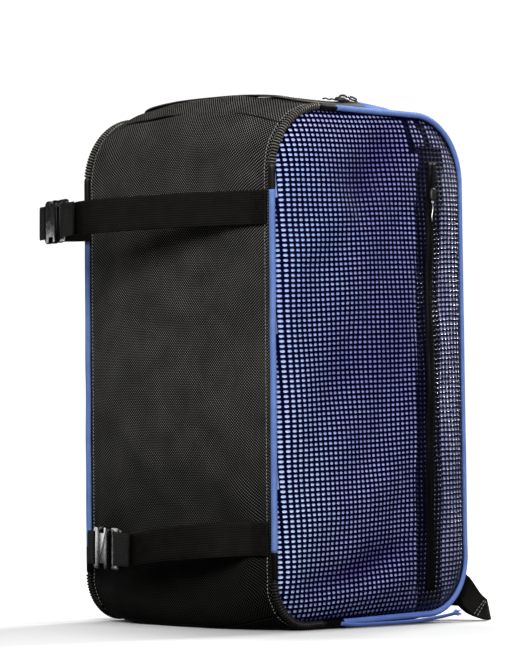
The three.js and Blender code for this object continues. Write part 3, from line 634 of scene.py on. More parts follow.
class Paint:
    """A material's node graph, with short calls for the nodes used here."""

    def __init__(self, name, color, roughness, **sockets):
        self.material = bpy.data.materials.new(name)
        self.material.use_nodes = True
        self.tree = self.material.node_tree
        self.shader = self.tree.nodes["Principled BSDF"]
        self.put("Base Color", (*color, 1))
        self.put("Roughness", roughness)
        for socket, value in sockets.items():
            self.put(socket.replace("_", " "), value)

    def put(self, socket, value):
        self.feed(self.shader.inputs[socket], value)

    def feed(self, socket, value):
        if isinstance(value, Value):
            value = value.socket
        if isinstance(value, bpy.types.NodeSocket):
            self.tree.links.new(value, socket)
        else:
            socket.default_value = value

    def node(self, kind, **settings):
        made = self.tree.nodes.new(kind)
        for key, value in settings.items():
            setattr(made, key, value)
        return made

    def math(self, operation, *terms):
        made = self.node("ShaderNodeMath", operation=operation)
        for socket, term in zip(made.inputs, terms):
            self.feed(socket, term)
        return Value(self, made.outputs[0])

    def parts(self, vector):
        made = self.node("ShaderNodeSeparateXYZ")
        self.feed(made.inputs[0], vector)
        return [Value(self, output) for output in made.outputs]

    def chart(self):
        """The cloth's own coordinates, in millimetres across and along."""
        return self.parts(self.node("ShaderNodeUVMap", uv_map="weave").outputs[0])[:2]

    def place(self):
        return self.node("ShaderNodeTexCoord").outputs["Object"]

    def fade(self, value, low, high):
        """0 up to low, 1 from high on, and smooth between."""
        made = self.node("ShaderNodeMapRange", interpolation_type="SMOOTHSTEP")
        for socket, term in (("Value", value), ("From Min", low), ("From Max", high)):
            self.feed(made.inputs[socket], term)
        return Value(self, made.outputs[0])

    def span(self, axis, places, values):
        """A number that goes from one value to another between two places on an axis, in metres."""
        share = self.fade(self.parts(self.place())["XYZ".index(axis)], *places)
        return share * (values[1] - values[0]) + values[0]

    def noise(self, scale, detail=3.0):
        """Noise from 0 to 1 with the given number of cells a metre."""
        made = self.node("ShaderNodeTexNoise")
        for socket, term in (("Vector", self.place()), ("Scale", scale), ("Detail", detail)):
            self.feed(made.inputs[socket], term)
        return Value(self, made.outputs["Fac"])

    def wave(self, value, period):
        """Threads that lie over and under in turn: from -1 to 1, each thread a period wide."""
        return self.math("SINE", value * (math.pi / period))

    def ridge(self, value, period):
        """Round threads across value: 1 on each thread's crest and 0 between two."""
        return abs(self.wave(value, period))

    def basket(self, across, along, cell):
        """A weave of square cells that show a cross thread and a long thread in turn."""
        sign = self.wave(across, cell) * self.wave(along, cell)
        over = self.math("GREATER_THAN", sign, 0.0)
        threads = self.ridge(across, cell) * over + self.ridge(along, cell) * (1.0 - over)
        return threads * abs(sign) ** 0.35

    def mix(self, share, first, second):
        made = self.node("ShaderNodeMix", data_type="RGBA")
        for number, term in ((0, share), (6, first), (7, second)):
            self.feed(made.inputs[number], term)
        self.put("Base Color", made.outputs[2])

    def color(self, share, low, high):
        """Base colour between two colours."""
        self.mix(share, (*low, 1), (*high, 1))

    def tint(self, share, color):
        """The base colour drawn towards another colour."""
        self.mix(share, self.shader.inputs["Base Color"].links[0].from_socket, (*color, 1))

    def roughness(self, share, low, high):
        self.put("Roughness", share * (high - low) + low)

    def bump(self, height, depth, strength):
        """Relief of the given depth in millimetres."""
        made = self.node("ShaderNodeBump")
        for socket, term in (("Strength", strength), ("Distance", depth * MM), ("Height", height)):
            self.feed(made.inputs[socket], term)
        self.put("Normal", made.outputs[0])


def nylon_material():
    paint = Paint("ballistic_nylon", (0.02, 0.02, 0.019), 0.5, Specular_IOR_Level=0.04)
    across, along = paint.chart()
    knot = paint.wave(across, NYLON_CELL["across"]) * paint.wave(along, NYLON_CELL["along"])
    # The weave's knots are painted pale: a painted highlight of thread glints on the weave's own pattern. The
    # tone also fades into painted shade towards the floor.
    knot_glint = paint.math("MAXIMUM", knot, 0.0) ** 2.2
    tone = knot_glint * (paint.noise(30.0) * 0.9 + 0.35) * paint.span("Z", (0.02, 0.28), (0.15, 1.0))
    paint.color(tone, (0.0003, 0.0003, 0.0002), (0.42, 0.41, 0.38))
    paint.roughness(knot_glint, 0.7, 0.4)
    paint.bump(abs(knot) ** 0.5, 0.35, 0.8)
    return paint.material


def pad_material():
    paint = Paint("pad_nylon", (0.02, 0.02, 0.02), 0.6)
    grain = paint.node("ShaderNodeTexVoronoi")
    paint.feed(grain.inputs["Vector"], paint.place())
    paint.feed(grain.inputs["Scale"], 290.0)
    cell = Value(paint, grain.outputs["Distance"]) * 1.6
    paint.color(cell, (0.004, 0.004, 0.004), (0.036, 0.036, 0.035))
    paint.roughness(paint.noise(60.0), 0.5, 0.75)
    paint.bump(cell, 0.4, 0.8)
    return paint.material


def lining_material():
    """Blue cloth with painted light and shade: painted shade in its fold valleys, painted light on their
    ridges, and painted light that pales it towards the front edge, the back edge, the floor and the top seam.
    """
    paint = Paint("blue_lining", (0.25, 0.3, 0.55), 0.45, Specular_IOR_Level=0.3)
    across, along = paint.chart()
    weave = paint.ridge(across, 0.55) * paint.ridge(along, 0.55)
    # Fold depth from the side's folds: painted shade in the valleys and painted light on the ridges
    fold = Value(paint, paint.node("ShaderNodeAttribute", attribute_name="fold").outputs["Fac"]) * 0.14
    patch = (paint.noise(11.0) - 0.5) * 0.8
    # Painted light that falls off from the front edge towards the back, with random patches
    tone = paint.fade(0.68 - across * 0.0006 + (fold + patch), 0.0, 1.0)
    # low is the painted light's weight near the floor
    low = tone * paint.span("Z", (0.08, 0.42), (0.55, 0.0))
    paint.color(tone, (0.2, 0.165, 0.5), (0.42, 0.45, 0.86))
    # Painted light: paler tints at the front edge, the back edge, near the floor and at the top seam
    paint.tint(tone * paint.fade(across, 10.0, -130.0), (0.37, 0.5, 0.92))
    paint.tint(tone * paint.fade(across, 70.0, 140.0), (0.55, 0.6, 0.98))
    paint.tint(low * paint.span("Z", (0.03, 0.12), (0.3, 1.0)), (0.55, 0.57, 1.0))
    paint.tint(low * paint.fade(across, -40.0, -120.0), (0.58, 0.76, 1.0))
    paint.tint(tone * paint.span("Z", (0.48, 0.57), (0.0, 0.7)), (0.66, 0.68, 1.0))
    paint.roughness(weave, 0.5, 0.36)
    paint.bump(weave, 0.12, 0.6)
    return paint.material


def mesh_material():
    """Dark coated strands that glint towards the back, and less so near the top."""
    paint = Paint("coated_mesh", (0.002, 0.002, 0.004), 0.3, Specular_IOR_Level=0.02)
    speck = paint.noise(700.0)
    gloss = paint.span("Y", (0.04, 0.115), (0.02, 0.95)) * paint.span("Z", (0.45, 0.56), (1.0, 0.1))
    paint.put("Specular IOR Level", gloss)
    paint.put("Roughness", speck * 0.1 + paint.span("Z", (0.43, 0.56), (0.1, 0.75)))
    paint.color(speck, (0.0002, 0.0002, 0.007), (0.0008, 0.0008, 0.024))
    paint.bump(speck, 0.1, 0.5)
    return paint.material


def piping_material():
    paint = Paint("piping_tape", (0.13, 0.25, 0.55), 0.5, Specular_IOR_Level=0.12)
    across, along = paint.chart()
    weave = paint.basket(across + along, across - along, 1.0)
    # The tape's tone gets painted shade towards the floor
    tone = (weave + paint.noise(55.0)) * 0.55 * paint.span("Z", (0.0, 0.06), (0.45, 1.0))
    paint.color(tone, (0.055, 0.085, 0.34), (0.19, 0.32, 0.64))
    paint.roughness(weave, 0.85, 0.65)
    paint.bump(weave, 0.2, 0.7)
    return paint.material


def rubber_material():
    paint = Paint("guard_rubber", (0.018, 0.017, 0.017), 0.4, Specular_IOR_Level=0.1)
    bloom_and_sheen = paint.noise(120.0, 5.0)
    # The rib crests are painted pale as a painted highlight, in uneven patches, and the tone fades into
    # painted shade towards the floor.
    crest = paint.ridge(paint.chart()[0], 1.0) ** 6.0
    tone = bloom_and_sheen * crest * paint.span("Z", (0.1, 0.45), (0.18, 1.0))
    paint.color(tone, (0.0004, 0.0003, 0.0003), (0.31, 0.285, 0.25))
    paint.roughness(bloom_and_sheen, 0.28, 0.5)
    paint.bump(paint.noise(1600.0), 0.05, 0.5)
    return paint.material


def webbing_material():
    paint = Paint("strap_webbing", (0.01, 0.0095, 0.008), 0.55, Specular_IOR_Level=0.08)
    across, along = paint.chart()
    cords = paint.ridge(across, 2.7)
    weave = paint.ridge(along + cords * 0.6, 1.15) * (cords * 0.6 + 0.4)
    tone = (weave + paint.ridge(along, 1.15)) * paint.noise(90.0) * cords
    paint.color(tone, (0.0006, 0.0005, 0.0004), (0.011, 0.0102, 0.0085))
    paint.roughness(weave, 0.8, 0.5)
    paint.bump(weave, 0.3, 0.8)
    return paint.material


def zip_tape_material(name, dark, pale):
    paint = Paint(name, dark, 0.7, Specular_IOR_Level=0.05)
    across, along = paint.chart()
    twill = paint.ridge(across + along * 0.7, 0.8)
    paint.color(twill * paint.noise(80.0), dark, pale)
    paint.roughness(twill, 0.75, 0.5)
    paint.bump(twill, 0.15, 0.7)
    return paint.material


def thread_material():
    paint = Paint("sewing_thread", (0.2, 0.2, 0.19), 0.5, Specular_IOR_Level=0.3)
    fibre = paint.noise(900.0)
    paint.color(fibre, (0.12, 0.12, 0.112), (0.5, 0.5, 0.47))
    paint.roughness(fibre, 0.4, 0.65)
    return paint.material


def plastic_material(name, dark, pale):
    paint = Paint(name, dark, 0.3, Specular_IOR_Level=0.35)
    scuff = paint.noise(150.0, 6.0)
    paint.color(scuff, dark, pale)
    paint.roughness(scuff, 0.1, 0.34)
    paint.bump(paint.noise(2400.0, 2.0), 0.04, 0.5)
    return paint.material


def metal_material(name, dark, pale, metallic):
    paint = Paint(name, pale, 0.3, Metallic=metallic)
    wear = paint.noise(260.0, 6.0)
    paint.color(wear, dark, pale)
    paint.roughness(wear, 0.18, 0.45)
    paint.bump(paint.noise(1800.0), 0.03, 0.4)
    return paint.material


NYLON = nylon_material()
PAD_CLOTH = pad_material()
LINING = lining_material()
MESH = mesh_material()
PIPING = piping_material()
RUBBER = rubber_material()
WEB = webbing_material()
ZIP_TAPE = zip_tape_material("zip_tape", (0.0006, 0.0005, 0.0005), (0.006, 0.0055, 0.005))
# The main zip's tape is paler than the pocket tapes: partly its own warm grey, partly a painted reflection of
# light at a grazing angle
MAIN_ZIP_TAPE = zip_tape_material("main_zip_tape", (0.03, 0.028, 0.024), (0.2, 0.19, 0.165))
THREAD = thread_material()
COIL = plastic_material("zip_coil", (0.005, 0.005, 0.005), (0.015, 0.015, 0.015))
PLASTIC = plastic_material("buckle_plastic", (0.001, 0.001, 0.001), (0.004, 0.004, 0.004))
STEEL = metal_material("pull_wire", (0.5, 0.5, 0.5), (0.8, 0.8, 0.78), 1.0)
BLACK_METAL = metal_material("black_slider", (0.01, 0.01, 0.01), (0.04, 0.04, 0.04), 0.4)


# Camera and the loose cord

def facing(direction):
    return direction.to_track_quat("-Z", "Y").to_euler()


def place_camera():
    data = bpy.data.cameras.new("camera")
    data.lens = CAMERA["lens"]
    data.sensor_width = CAMERA["sensor"]
    data.clip_end = CAMERA["far"]
    camera = placed("camera", data)
    turn, tilt = math.radians(CAMERA["turn"]), math.radians(CAMERA["tilt"])
    level = math.cos(tilt)
    camera.location = CAMERA["place"]
    camera.rotation_euler = facing(Vector((-math.sin(turn) * level, math.cos(turn) * level, math.sin(tilt))))
    bpy.context.scene.camera = camera


def fray_fibre(end, draws):
    """One fibre at the tail's bare end, kept above the floor."""
    wide, spread, sway = FRAY["wide"], FRAY["spread"], FRAY["sway"]
    shift = (draws.uniform(-wide, wide), -FRAY["lap"], draws.uniform(-1, 1) * FRAY["high"])
    aim = np.array((draws.uniform(-spread, spread), 1.0, draws.uniform(*FRAY["lift"])))
    share = np.linspace(0, 1, FRAY["points"])[:, None]
    run = share * draws.uniform(*FRAY["length"])
    swing = np.sin(run / FRAY["wave"] + draws.uniform(0, FRAY["wave"]))
    line = end + shift + aim * run + swing * share * (draws.uniform(-sway, sway), 0, FRAY["rise"])
    line[:, 2] = np.maximum(line[:, 2], FRAY["radius"])
    return free_tube(line, FRAY["radius"], FRAY["sides"])


def piping_tail():
    course = smooth_route(TAIL_ROUTE, TAIL["steps"])
    tail = strap_piece("piping_tail_tape", course, TAIL["across"], TAIL["width"], TAIL["thick"], **SLIM_BAND)
    dress(tail, PIPING, "piping", "piping_tail")
    draws = np.random.default_rng(FRAY["seed"])
    fibres = [fray_fibre(course[-1], draws) for fibre in range(FRAY["fibres"])]
    fray = body_piece("piping_tail_fray", fibres, PIPING, "piping")


place_camera()
piping_tail()


# Gusset panels

def gusset_share(x):
    return 1 - np.abs(np.asarray(x) / GUSSET_HALF) ** SWELL_POWER


def gusset_points(position, x, lift):
    """Points of the gusset, out from its cloth by lift and flattened by the floor."""
    seam, seam_out = SEAM.at(position)
    swell, swell_out = SWELL.at(position)
    share = np.clip(gusset_share(x), 0, 1)[..., None]
    out = unit(seam_out + (swell_out - seam_out) * share)
    point = seam + (swell - seam) * share + out * lift[..., None]
    return np.stack([x, point[..., 0], np.maximum(point[..., 1], 0)], axis=-1)


def seam_relief(edge, distance, wander):
    """The welt and the puckers along a seam."""
    welt = WELT["height"] * bell(edge - WELT["from_seam"], WELT["width"])
    pucker = np.sin(2 * math.pi * distance / PUCKER["wave"] + PUCKER["wander"] * wander)
    fade = np.exp(-edge / PUCKER["reach"]) * smoothstep(edge, *PUCKER["clear"])
    return welt + PUCKER["height"] * pucker * fade


def slack_relief(x, distance, wander, points):
    relief = BILLOW["height"] * rough(points, BILLOW)
    for fold in SLACK:
        slope = distance + fold["lean"] * x + SLACK_WANDER * wander
        relief = relief + fold["height"] * np.sin(2 * math.pi * slope / fold["wave"] + fold["phase"])
    return relief


def drag_relief(x, z):
    """The folds that spread from where the straps are sewn on."""
    relief = np.zeros_like(x)
    for anchor in ANCHORS:
        aside, above = x - anchor["x"], z - anchor["z"]
        reach = np.hypot(aside, above)
        fade = np.exp(-reach / anchor["reach"]) * smoothstep(reach, *ANCHOR_CLEAR)
        turn = anchor["folds"] * np.arctan2(above, aside) + anchor["turn"]
        relief = relief + anchor["height"] * fade * np.cos(turn)
    return relief


def gusset_relief(panel, x, distance, points):
    """How far a panel's cloth stands out."""
    edge = GUSSET_HALF - np.abs(x)
    wander = rough(points, WANDER)
    slack = slack_relief(x, distance, wander, points) * smoothstep(edge, *SLACK_CLEAR)
    relief = seam_relief(edge, distance, wander) + slack
    if panel["name"] == "front_panel":
        relief = relief + drag_relief(x, points[..., 2]) * smoothstep(edge, *ANCHOR_SEAM_CLEAR)
    return relief


def welt_stitches(name, columns, outer):
    """A row of pale stitches along the welt beside each seam of a panel."""
    normal = grid_normals(outer)
    bodies = []
    for sign in (-1, 1):
        at = sign * (GUSSET_HALF - WELT["from_seam"])
        after = int(np.searchsorted(columns, at))
        share = (at - columns[after - 1]) / (columns[after] - columns[after - 1])
        line = outer[:, after - 1] * (1 - share) + outer[:, after] * share
        bodies.extend(stitch_row(line, normal[:, after], WELT["stitch"]))
    dress(new_piece(name, *joined(bodies)), THREAD, "nylon")


def gusset_panels():
    for panel in PANELS:
        position = np.linspace(panel["first"] + PANEL_SEAM, panel["last"] - PANEL_SEAM, panel["along"] + 1)
        spread = np.linspace(-1, 1, panel["across"] + 1)
        spread = (1 - PANEL_CROWD) * spread + PANEL_CROWD * np.sin(spread * math.pi / 2)
        position, x = np.meshgrid(position, spread * GUSSET_HALF, indexing="ij")
        plain = gusset_points(position, x, np.zeros_like(x))
        middle = plain[:, panel["across"] // 2]
        distance = np.broadcast_to(travelled(middle)[:, None], x.shape)
        outer = gusset_points(position, x, gusset_relief(panel, x, distance, plain))
        piece = closed_sheet(panel["name"] + "_cloth", outer, CLOTH, np.stack([x, distance], axis=-1))
        dress(piece, NYLON, "nylon", panel["name"])
        welt_stitches(panel["name"] + "_stitches", x[0], outer)


gusset_panels()


# Mesh sides

def rim_reach():
    """Distance from a side's middle to its rim, by angle."""
    point, out = SEAM.at_distance(np.linspace(0, SEAM.length, RIM_STEPS, endpoint=False))
    spoke = point - out * SEAM_CLEAR - SIDE_MIDDLE
    angle = np.arctan2(spoke[:, 1], spoke[:, 0])
    order = np.argsort(angle)
    return angle[order], np.hypot(spoke[:, 0], spoke[:, 1])[order]


RIM_ANGLE, RIM_REACH = rim_reach()


def to_rim(y, z):
    """Distances from a side's middle to points, and on to the rim in the same direction."""
    spoke_y, spoke_z = y - SIDE_MIDDLE[0], z - SIDE_MIDDLE[1]
    rim = np.interp(np.arctan2(spoke_z, spoke_y), RIM_ANGLE, RIM_REACH, period=2 * math.pi)
    return np.hypot(spoke_y, spoke_z), rim


def side_folds(y, z):
    relief = np.zeros(np.shape(y))
    for fold in SIDE_FOLDS:
        start, run = np.array(fold["from"], float), np.subtract(fold["to"], fold["from"])
        length = np.hypot(*run)
        along = ((y - start[0]) * run[0] + (z - start[1]) * run[1]) / length ** 2
        aside = ((y - start[0]) * run[1] - (z - start[1]) * run[0]) / length
        ends = smoothstep(along, *FOLD_GROWS) * (1 - smoothstep(along, *FOLD_FADES))
        relief = relief + fold["height"] * ends * bell(aside, fold["wide"])
    return relief


def side_height(y, z):
    """How far a mesh side bulges past its rim, with its soft ripples and folds."""
    reach, rim = to_rim(y, z)
    share = reach / rim
    ripple = np.zeros_like(share)
    for wave in RIPPLES:
        turn = 2 * math.pi * (y / wave["wave_y"] + z / wave["wave_z"]) + wave["phase"]
        ripple = ripple + wave["height"] * np.sin(turn)
    ripple = ripple * smoothstep(1 - share, 0, RIPPLE_CALM)
    folds = side_folds(y, z) * smoothstep(1 - share, 0, FOLD_CALM)
    share = np.clip(share, 0, PAST_RIM)
    flat = SIDE_FLAT["share"] * (1 - share ** SIDE_FLAT["power"])
    dome = (1 - SIDE_FLAT["share"]) * (1 - share ** 2)
    return SIDE_BULGE * (flat + dome) + ripple + folds


def side_points(y, z, lift):
    return np.stack([MESH_OUT + side_height(y, z) + lift, y, z], axis=-1)


def linings():
    ring = np.linspace(LINING_DISC["first"], 1.0, LINING_DISC["rings"])
    edge, out = SEAM.at_distance(np.linspace(0, SEAM.length, LINING_DISC["around"], endpoint=False))
    edge = edge - out * SEAM_CLEAR
    flat = SIDE_MIDDLE + (edge[None] - SIDE_MIDDLE) * ring[:, None, None]
    outer = side_points(flat[..., 0], flat[..., 1], WALL_OUT - MESH_OUT)
    for suffix, sign in SIDES:
        shell = mirrored(outer, sign)
        piece = closed_disc(f"side_lining_{suffix}", shell, LINING_DISC["thick"], flat, sign < 0)
        places = mesh_points(piece)
        # Each point's fold depth, which the lining's material turns into painted shade in valleys and painted
        # light on ridges
        fold = piece.data.attributes.new("fold", "FLOAT", "POINT")
        fold.data.foreach_set("value", side_folds(places[:, 1], places[:, 2]))
        dress(piece, LINING, "lining", f"side_wall_{suffix}")


def drifted(y, z):
    """The mesh's lines wander a little, as a soft net does."""
    def sway(by_y, by_z, phase):
        return DRIFT["size"] * np.sin(2 * math.pi * (by_y * y + by_z * z) / DRIFT["scale"] + phase)
    return y + sway(*DRIFT["aside"]), z + sway(*DRIFT["above"])


def cell_rings():
    """Three rings in each cell, in cell sizes: its edge and its hole's two ends, with their lifts."""
    columns, rows = LATTICE["columns"], LATTICE["rows"]
    is_corner = np.abs(CELL_CORNERS).sum(axis=1) > 1
    i, j = np.meshgrid(np.arange(columns), np.arange(rows), indexing="ij")
    middle = np.stack([i + 0.5 - columns / 2, j + 0.5 - rows / 2], axis=-1)[:, :, None]
    rings = [middle + CELL_CORNERS * 0.5]
    lifts = [np.where(is_corner, CREST["crossing"], CREST["strand"])]
    for hole in HOLES:
        size = np.where(is_corner, hole["corner"], hole["middle"])[:, None]
        rings.append(middle + CELL_CORNERS * size * HOLE_STRETCH)
        lifts.append(np.full(len(CELL_CORNERS), hole["lift"]))
    return np.stack(rings, axis=2), np.stack(lifts)


def lattice():
    """The square mesh of one side: a frame round every cell, with knots at the crossings."""
    rings, lifts = cell_rings()
    a, b = np.moveaxis(rings * (LATTICE["pitch_y"], LATTICE["pitch_z"]), -1, 0)
    tilt = math.radians(LATTICE["tilt"])
    y, z = drifted(a * math.cos(tilt) - b * math.sin(tilt) + SIDE_MIDDLE[0],
                   a * math.sin(tilt) + b * math.cos(tilt) + SIDE_MIDDLE[1])
    reach, rim = to_rim(y.mean(axis=(2, 3)), z.mean(axis=(2, 3)))
    inside = rim - reach > LATTICE["inside"] - SEAM_CLEAR
    points = side_points(y, z, lifts)[inside].reshape(-1, 3)
    layers, sides = lifts.shape
    here = np.arange(sides)
    after = (here + 1) % sides
    band = np.stack([here, after, sides + after, sides + here], axis=-1)
    cell = np.concatenate([band, band + sides])
    faces = (np.arange(inside.sum())[:, None, None] * layers * sides + cell).reshape(-1, 4)
    kept, index = np.unique(np.round(points, 3), axis=0, return_inverse=True)
    return kept, index.ravel()[faces]


def meshes():
    points, faces = lattice()
    for suffix, sign in SIDES:
        piece = new_piece(f"side_net_{suffix}", mirrored(points, sign), faces[:, ::sign])
        dress(piece, MESH, "mesh", f"side_mesh_{suffix}")


linings()
meshes()


# Seams: piping and corner guards

def seam_tube(name, distance, radii, crosswise, sides, sign, wander=0.0):
    """A tube along the seam loop, with the chart's crosswise values."""
    point, out = SEAM.at_distance(distance)
    centre = np.insert(point, 0, SEAM_X, axis=1)
    outward = np.insert(out, 0, 0.0, axis=1)
    if wander:
        centre[:, 0] += wander * rough(centre, WANDER_ASIDE)
        centre += outward * (wander * rough(centre, WANDER_OUTWARD))[:, None]
    rings = tube_rings(centre, outward, np.broadcast_to(RIGHTWARD, centre.shape), radii, sides)
    points, faces = swept(rings)
    shape = rings.shape[:2]
    chart = np.stack([np.broadcast_to(crosswise, shape), np.broadcast_to(distance[:, None], shape)], axis=-1)
    return new_piece(name, mirrored(points, sign), [face[::sign] for face in faces], chart)


def piping_runs():
    runs = (
        ("piping_front", on_front(GUARD["top_z"]), on_front(GUARD["bottom_z"])),
        ("piping_back", on_bottom(GUARD["bottom_y"]), on_top(GUARD["top_y"])),
    )
    sides, wander = PIPING_TUBE["sides"], PIPING_TUBE["wander"]
    around = np.arange(sides) / sides * 2 * math.pi * PIPING_TUBE["radius"]
    for name, start, end in runs:
        distance = np.linspace(start, end, int((end - start) / PIPING_TUBE["step"]) + 2)
        back = smoothstep(distance, *SEAM.ends[0:2]) * (1 - smoothstep(distance, *SEAM.ends[2:4]))
        radii = PIPING_TUBE["radius"] - PIPING_TUBE["slim"] * back
        for suffix, sign in SIDES:
            piece = seam_tube(f"{name}_tape_{suffix}", distance, radii, around, sides, sign, wander)
            dress(piece, PIPING, "piping", f"{name}_{suffix}")


def guard_run(name, start, first, last, end):
    """A guard from start to end, ribbed between first and last and plain beyond."""
    ribs = int(round((last - first) / RIB["pitch"]))
    nose, clear, steps = GUARD_END["nose"], GUARD_END["clear"], GUARD_END["steps"]
    distance = np.concatenate([
        [start, start + nose], np.linspace(start + clear, first, steps, endpoint=False),
        np.linspace(first, last, ribs * RIB["samples"] + 1),
        np.linspace(last, end - clear, steps + 1)[1:], [end - nose, end]])
    turn = (distance - first) / (last - first) * ribs
    ribbed = (distance >= first) & (distance <= last)
    rib = RIB["radius"] - RIB["depth"] * (1 - np.abs(np.sin(turn * math.pi))) ** RIB["power"]
    radii = np.where(ribbed, rib, PIPING_TUBE["radius"] + GUARD_END["proud"])
    radii[[0, -1]] = PIPING_TUBE["radius"] - GUARD_END["slim"]
    # Plain stretches take a fixed chart value, which sets how much of the rubber's painted highlight they
    # show
    crosswise = np.where(ribbed, turn, RIB["plain"])[:, None]
    for suffix, sign in SIDES:
        piece = seam_tube(f"{name}_ribbed_{suffix}", distance, radii, crosswise, GUARD["sides"], sign)
        dress(piece, RUBBER, "rubber", f"{name}_{suffix}")


def guard_runs():
    past = RIBS_PAST_BEND
    guard_run("guard_top", on_top(GUARD["top_y"]), SEAM.ends[4] - past["top"],
              SEAM.ends[5] + past["top_front"], on_front(GUARD["top_z"]))
    guard_run("guard_bottom", on_front(GUARD["bottom_z"]), SEAM.ends[6] - past["bottom_front"],
              SEAM.length + past["bottom"], SEAM.length + on_bottom(GUARD["bottom_y"]))


def seam_flanges():
    """The strip inside each seam that joins a gusset's edge to the piping."""
    point, out = SEAM.at_distance(np.linspace(0, SEAM.length, FLANGE["steps"]))
    y, z = (point - out * FLANGE["inset"]).T
    x = np.linspace(GUSSET_HALF - FLANGE["lap"], SEAM_X - FLANGE["lap"], 3)
    z = np.maximum(z, FLANGE["floor"])
    outer = np.stack(np.broadcast_arrays(x[None], y[:, None], z[:, None]), axis=-1)
    chart = np.zeros(outer.shape[:2] + (2,))
    for suffix, sign in SIDES:
        piece = closed_sheet(f"seam_flange_{suffix}", mirrored(outer, sign), FLANGE["thick"], chart, sign < 0)
        dress(piece, WEB, "webbing")


piping_runs()
guard_runs()
seam_flanges()


# Pocket zips on the mesh sides

def pocket_points(z, across, lift):
    bow = POCKET["bow"] * ((z - SIDE_MIDDLE[1]) / POCKET["bow_reach"]) ** POCKET["bow_power"]
    return side_points(POCKET["middle_y"] + bow + across, z, lift)


def pocket_strip(name, inner, outer, strip, sign):
    z, across = np.meshgrid(np.linspace(strip["bottom"], strip["top"], POCKET["rows"]),
                            np.linspace(inner, outer, strip["columns"]), indexing="ij")
    share = (across - inner) / (outer - inner) * 2 - 1
    points = pocket_points(z, across, strip["lift"] + strip["crown"] * (1 - share ** 2))
    chart = np.stack([across, z], axis=-1)
    return closed_sheet(name, mirrored(points, sign), strip["thick"], chart, sign > 0)


def binding_arm(name, course, sign):
    course = smooth_route(course)
    ahead = heading(course)
    aside = np.stack([ahead[:, 1], -ahead[:, 0]], axis=-1)
    across = np.linspace(-0.5, 0.5, BINDING_ARM["columns"]) * BINDING_ARM["width"]
    flat = course[:, None] + aside[:, None] * across[None, :, None]
    points = side_points(flat[..., 0], flat[..., 1], POCKET_BINDING["lift"] - BINDING_ARM["sink"])
    return closed_sheet(name, mirrored(points, sign), POCKET_BINDING["thick"], flat, sign > 0)


def pocket_stitches(suffix, sign):
    bodies = []
    ends = POCKET_SEAM["ends"]
    z = np.linspace(POCKET_TAPE["bottom"] + ends, POCKET_TAPE["top"] - ends, POCKET_SEAM["points"])
    for way in (-1, 1):
        across = np.full_like(z, way * (POCKET_TAPE["half"] - POCKET_SEAM["inset"]))
        line = pocket_points(z, across, POCKET_TAPE["lift"] + POCKET_SEAM["lift"])
        bodies.extend(stitch_row(mirrored(line, sign), RIGHTWARD * sign))
    body_piece(f"pocket_zip_stitches_{suffix}", bodies, WEB, "zip_tape")


def pull_wire(suffix, sign):
    """The slider's pull: a bent wire with an eye at its upper end."""
    node = f"pocket_zip_pull_{suffix}"
    low, high = (np.array(corner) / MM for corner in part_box(node))
    x, y = ((low + high) / 2)[:2]
    eye, radius = PULL_WIRE["eye"], PULL_WIRE["radius"]
    share = np.linspace(0, 1, PULL_WIRE["points"])
    sway = PULL_WIRE["sway"] * np.sin(share * 2 * math.pi)
    drop = high[2] - eye * 2 - share * (high[2] - low[2] - eye * 2 - radius)
    turn = np.linspace(-0.5, 1.5, PULL_WIRE["eye_points"]) * math.pi
    wire = np.stack([np.full_like(share, x), y + sway, drop], axis=-1)
    loop = np.stack([np.full_like(turn, x + PULL_WIRE["aside"] * sign), y + eye * np.cos(turn),
                     drop[0] + eye * (1 + np.sin(turn))], axis=-1)
    points, faces = joined([free_tube(wire, radius), free_tube(loop, radius)])
    dress(new_piece(f"pocket_zip_pull_wire_{suffix}", points, faces), STEEL, "steel", node)


def pocket_zips():
    for suffix, sign in SIDES:
        for number, way in ((1, -1), (2, 1)):
            inner, outer = sorted((way * POCKET_TAPE["gap"], way * POCKET_TAPE["half"]))
            tape = pocket_strip(f"pocket_zip_half_{suffix}_{number}", inner, outer, POCKET_TAPE, sign)
            dress(tape, ZIP_TAPE, "zip_tape", f"pocket_zip_tape_{suffix}")
        half = POCKET_BINDING["half"]
        binding = pocket_strip(f"pocket_zip_binding_{suffix}", -half, half, POCKET_BINDING, sign)
        dress(binding, ZIP_TAPE, "zip_tape")
        for number, course in enumerate(BINDING_ARMS, 1):
            dress(binding_arm(f"pocket_zip_arm_{suffix}_{number}", course, sign), ZIP_TAPE, "zip_tape")
        pocket_stitches(suffix, sign)
        slider = softened(f"pocket_zip_slider_{suffix}", f"pocket_zip_slider_body_{suffix}", SLIDER_EDGE)
        dress(slider, BLACK_METAL, "black_metal", f"pocket_zip_slider_{suffix}")
        pull_wire(suffix, sign)


pocket_zips()


# Main zip on the top panel

def top_height(x):
    return SEAM_TOP + TOP_SWELL * gusset_share(x)


def main_course():
    """The zip's line on the top panel, in plan, with its sideways direction."""
    leg, cross, end, bend = (MAIN_ZIP[key] for key in ("leg_x", "cross_y", "end_y", "bend"))
    turn = np.linspace(0, math.pi / 2, MAIN_ZIP_POINTS["bend"])[1:-1]
    corner = np.stack([leg - bend + bend * np.cos(turn), cross + bend - bend * np.sin(turn)], axis=-1)
    down = np.linspace((leg, end), (leg, cross + bend), MAIN_ZIP_POINTS["leg"])
    over = np.linspace((leg - bend, cross), (bend - leg, cross), MAIN_ZIP_POINTS["cross"])
    flip = (-1, 1)
    plan = np.concatenate([down, corner, over, corner[::-1] * flip, down[::-1] * flip])
    ahead = heading(plan)
    return plan, np.stack([ahead[:, 1], -ahead[:, 0]], axis=-1)


def on_top_panel(plan, lift):
    return np.concatenate([plan, (top_height(plan[..., 0]) + lift)[..., None]], axis=-1)


def zip_rise(plan):
    return RISE["height"] * bell(plan[..., 1] - RISE["y"], RISE["reach"]) * (plan[..., 0] > 0)


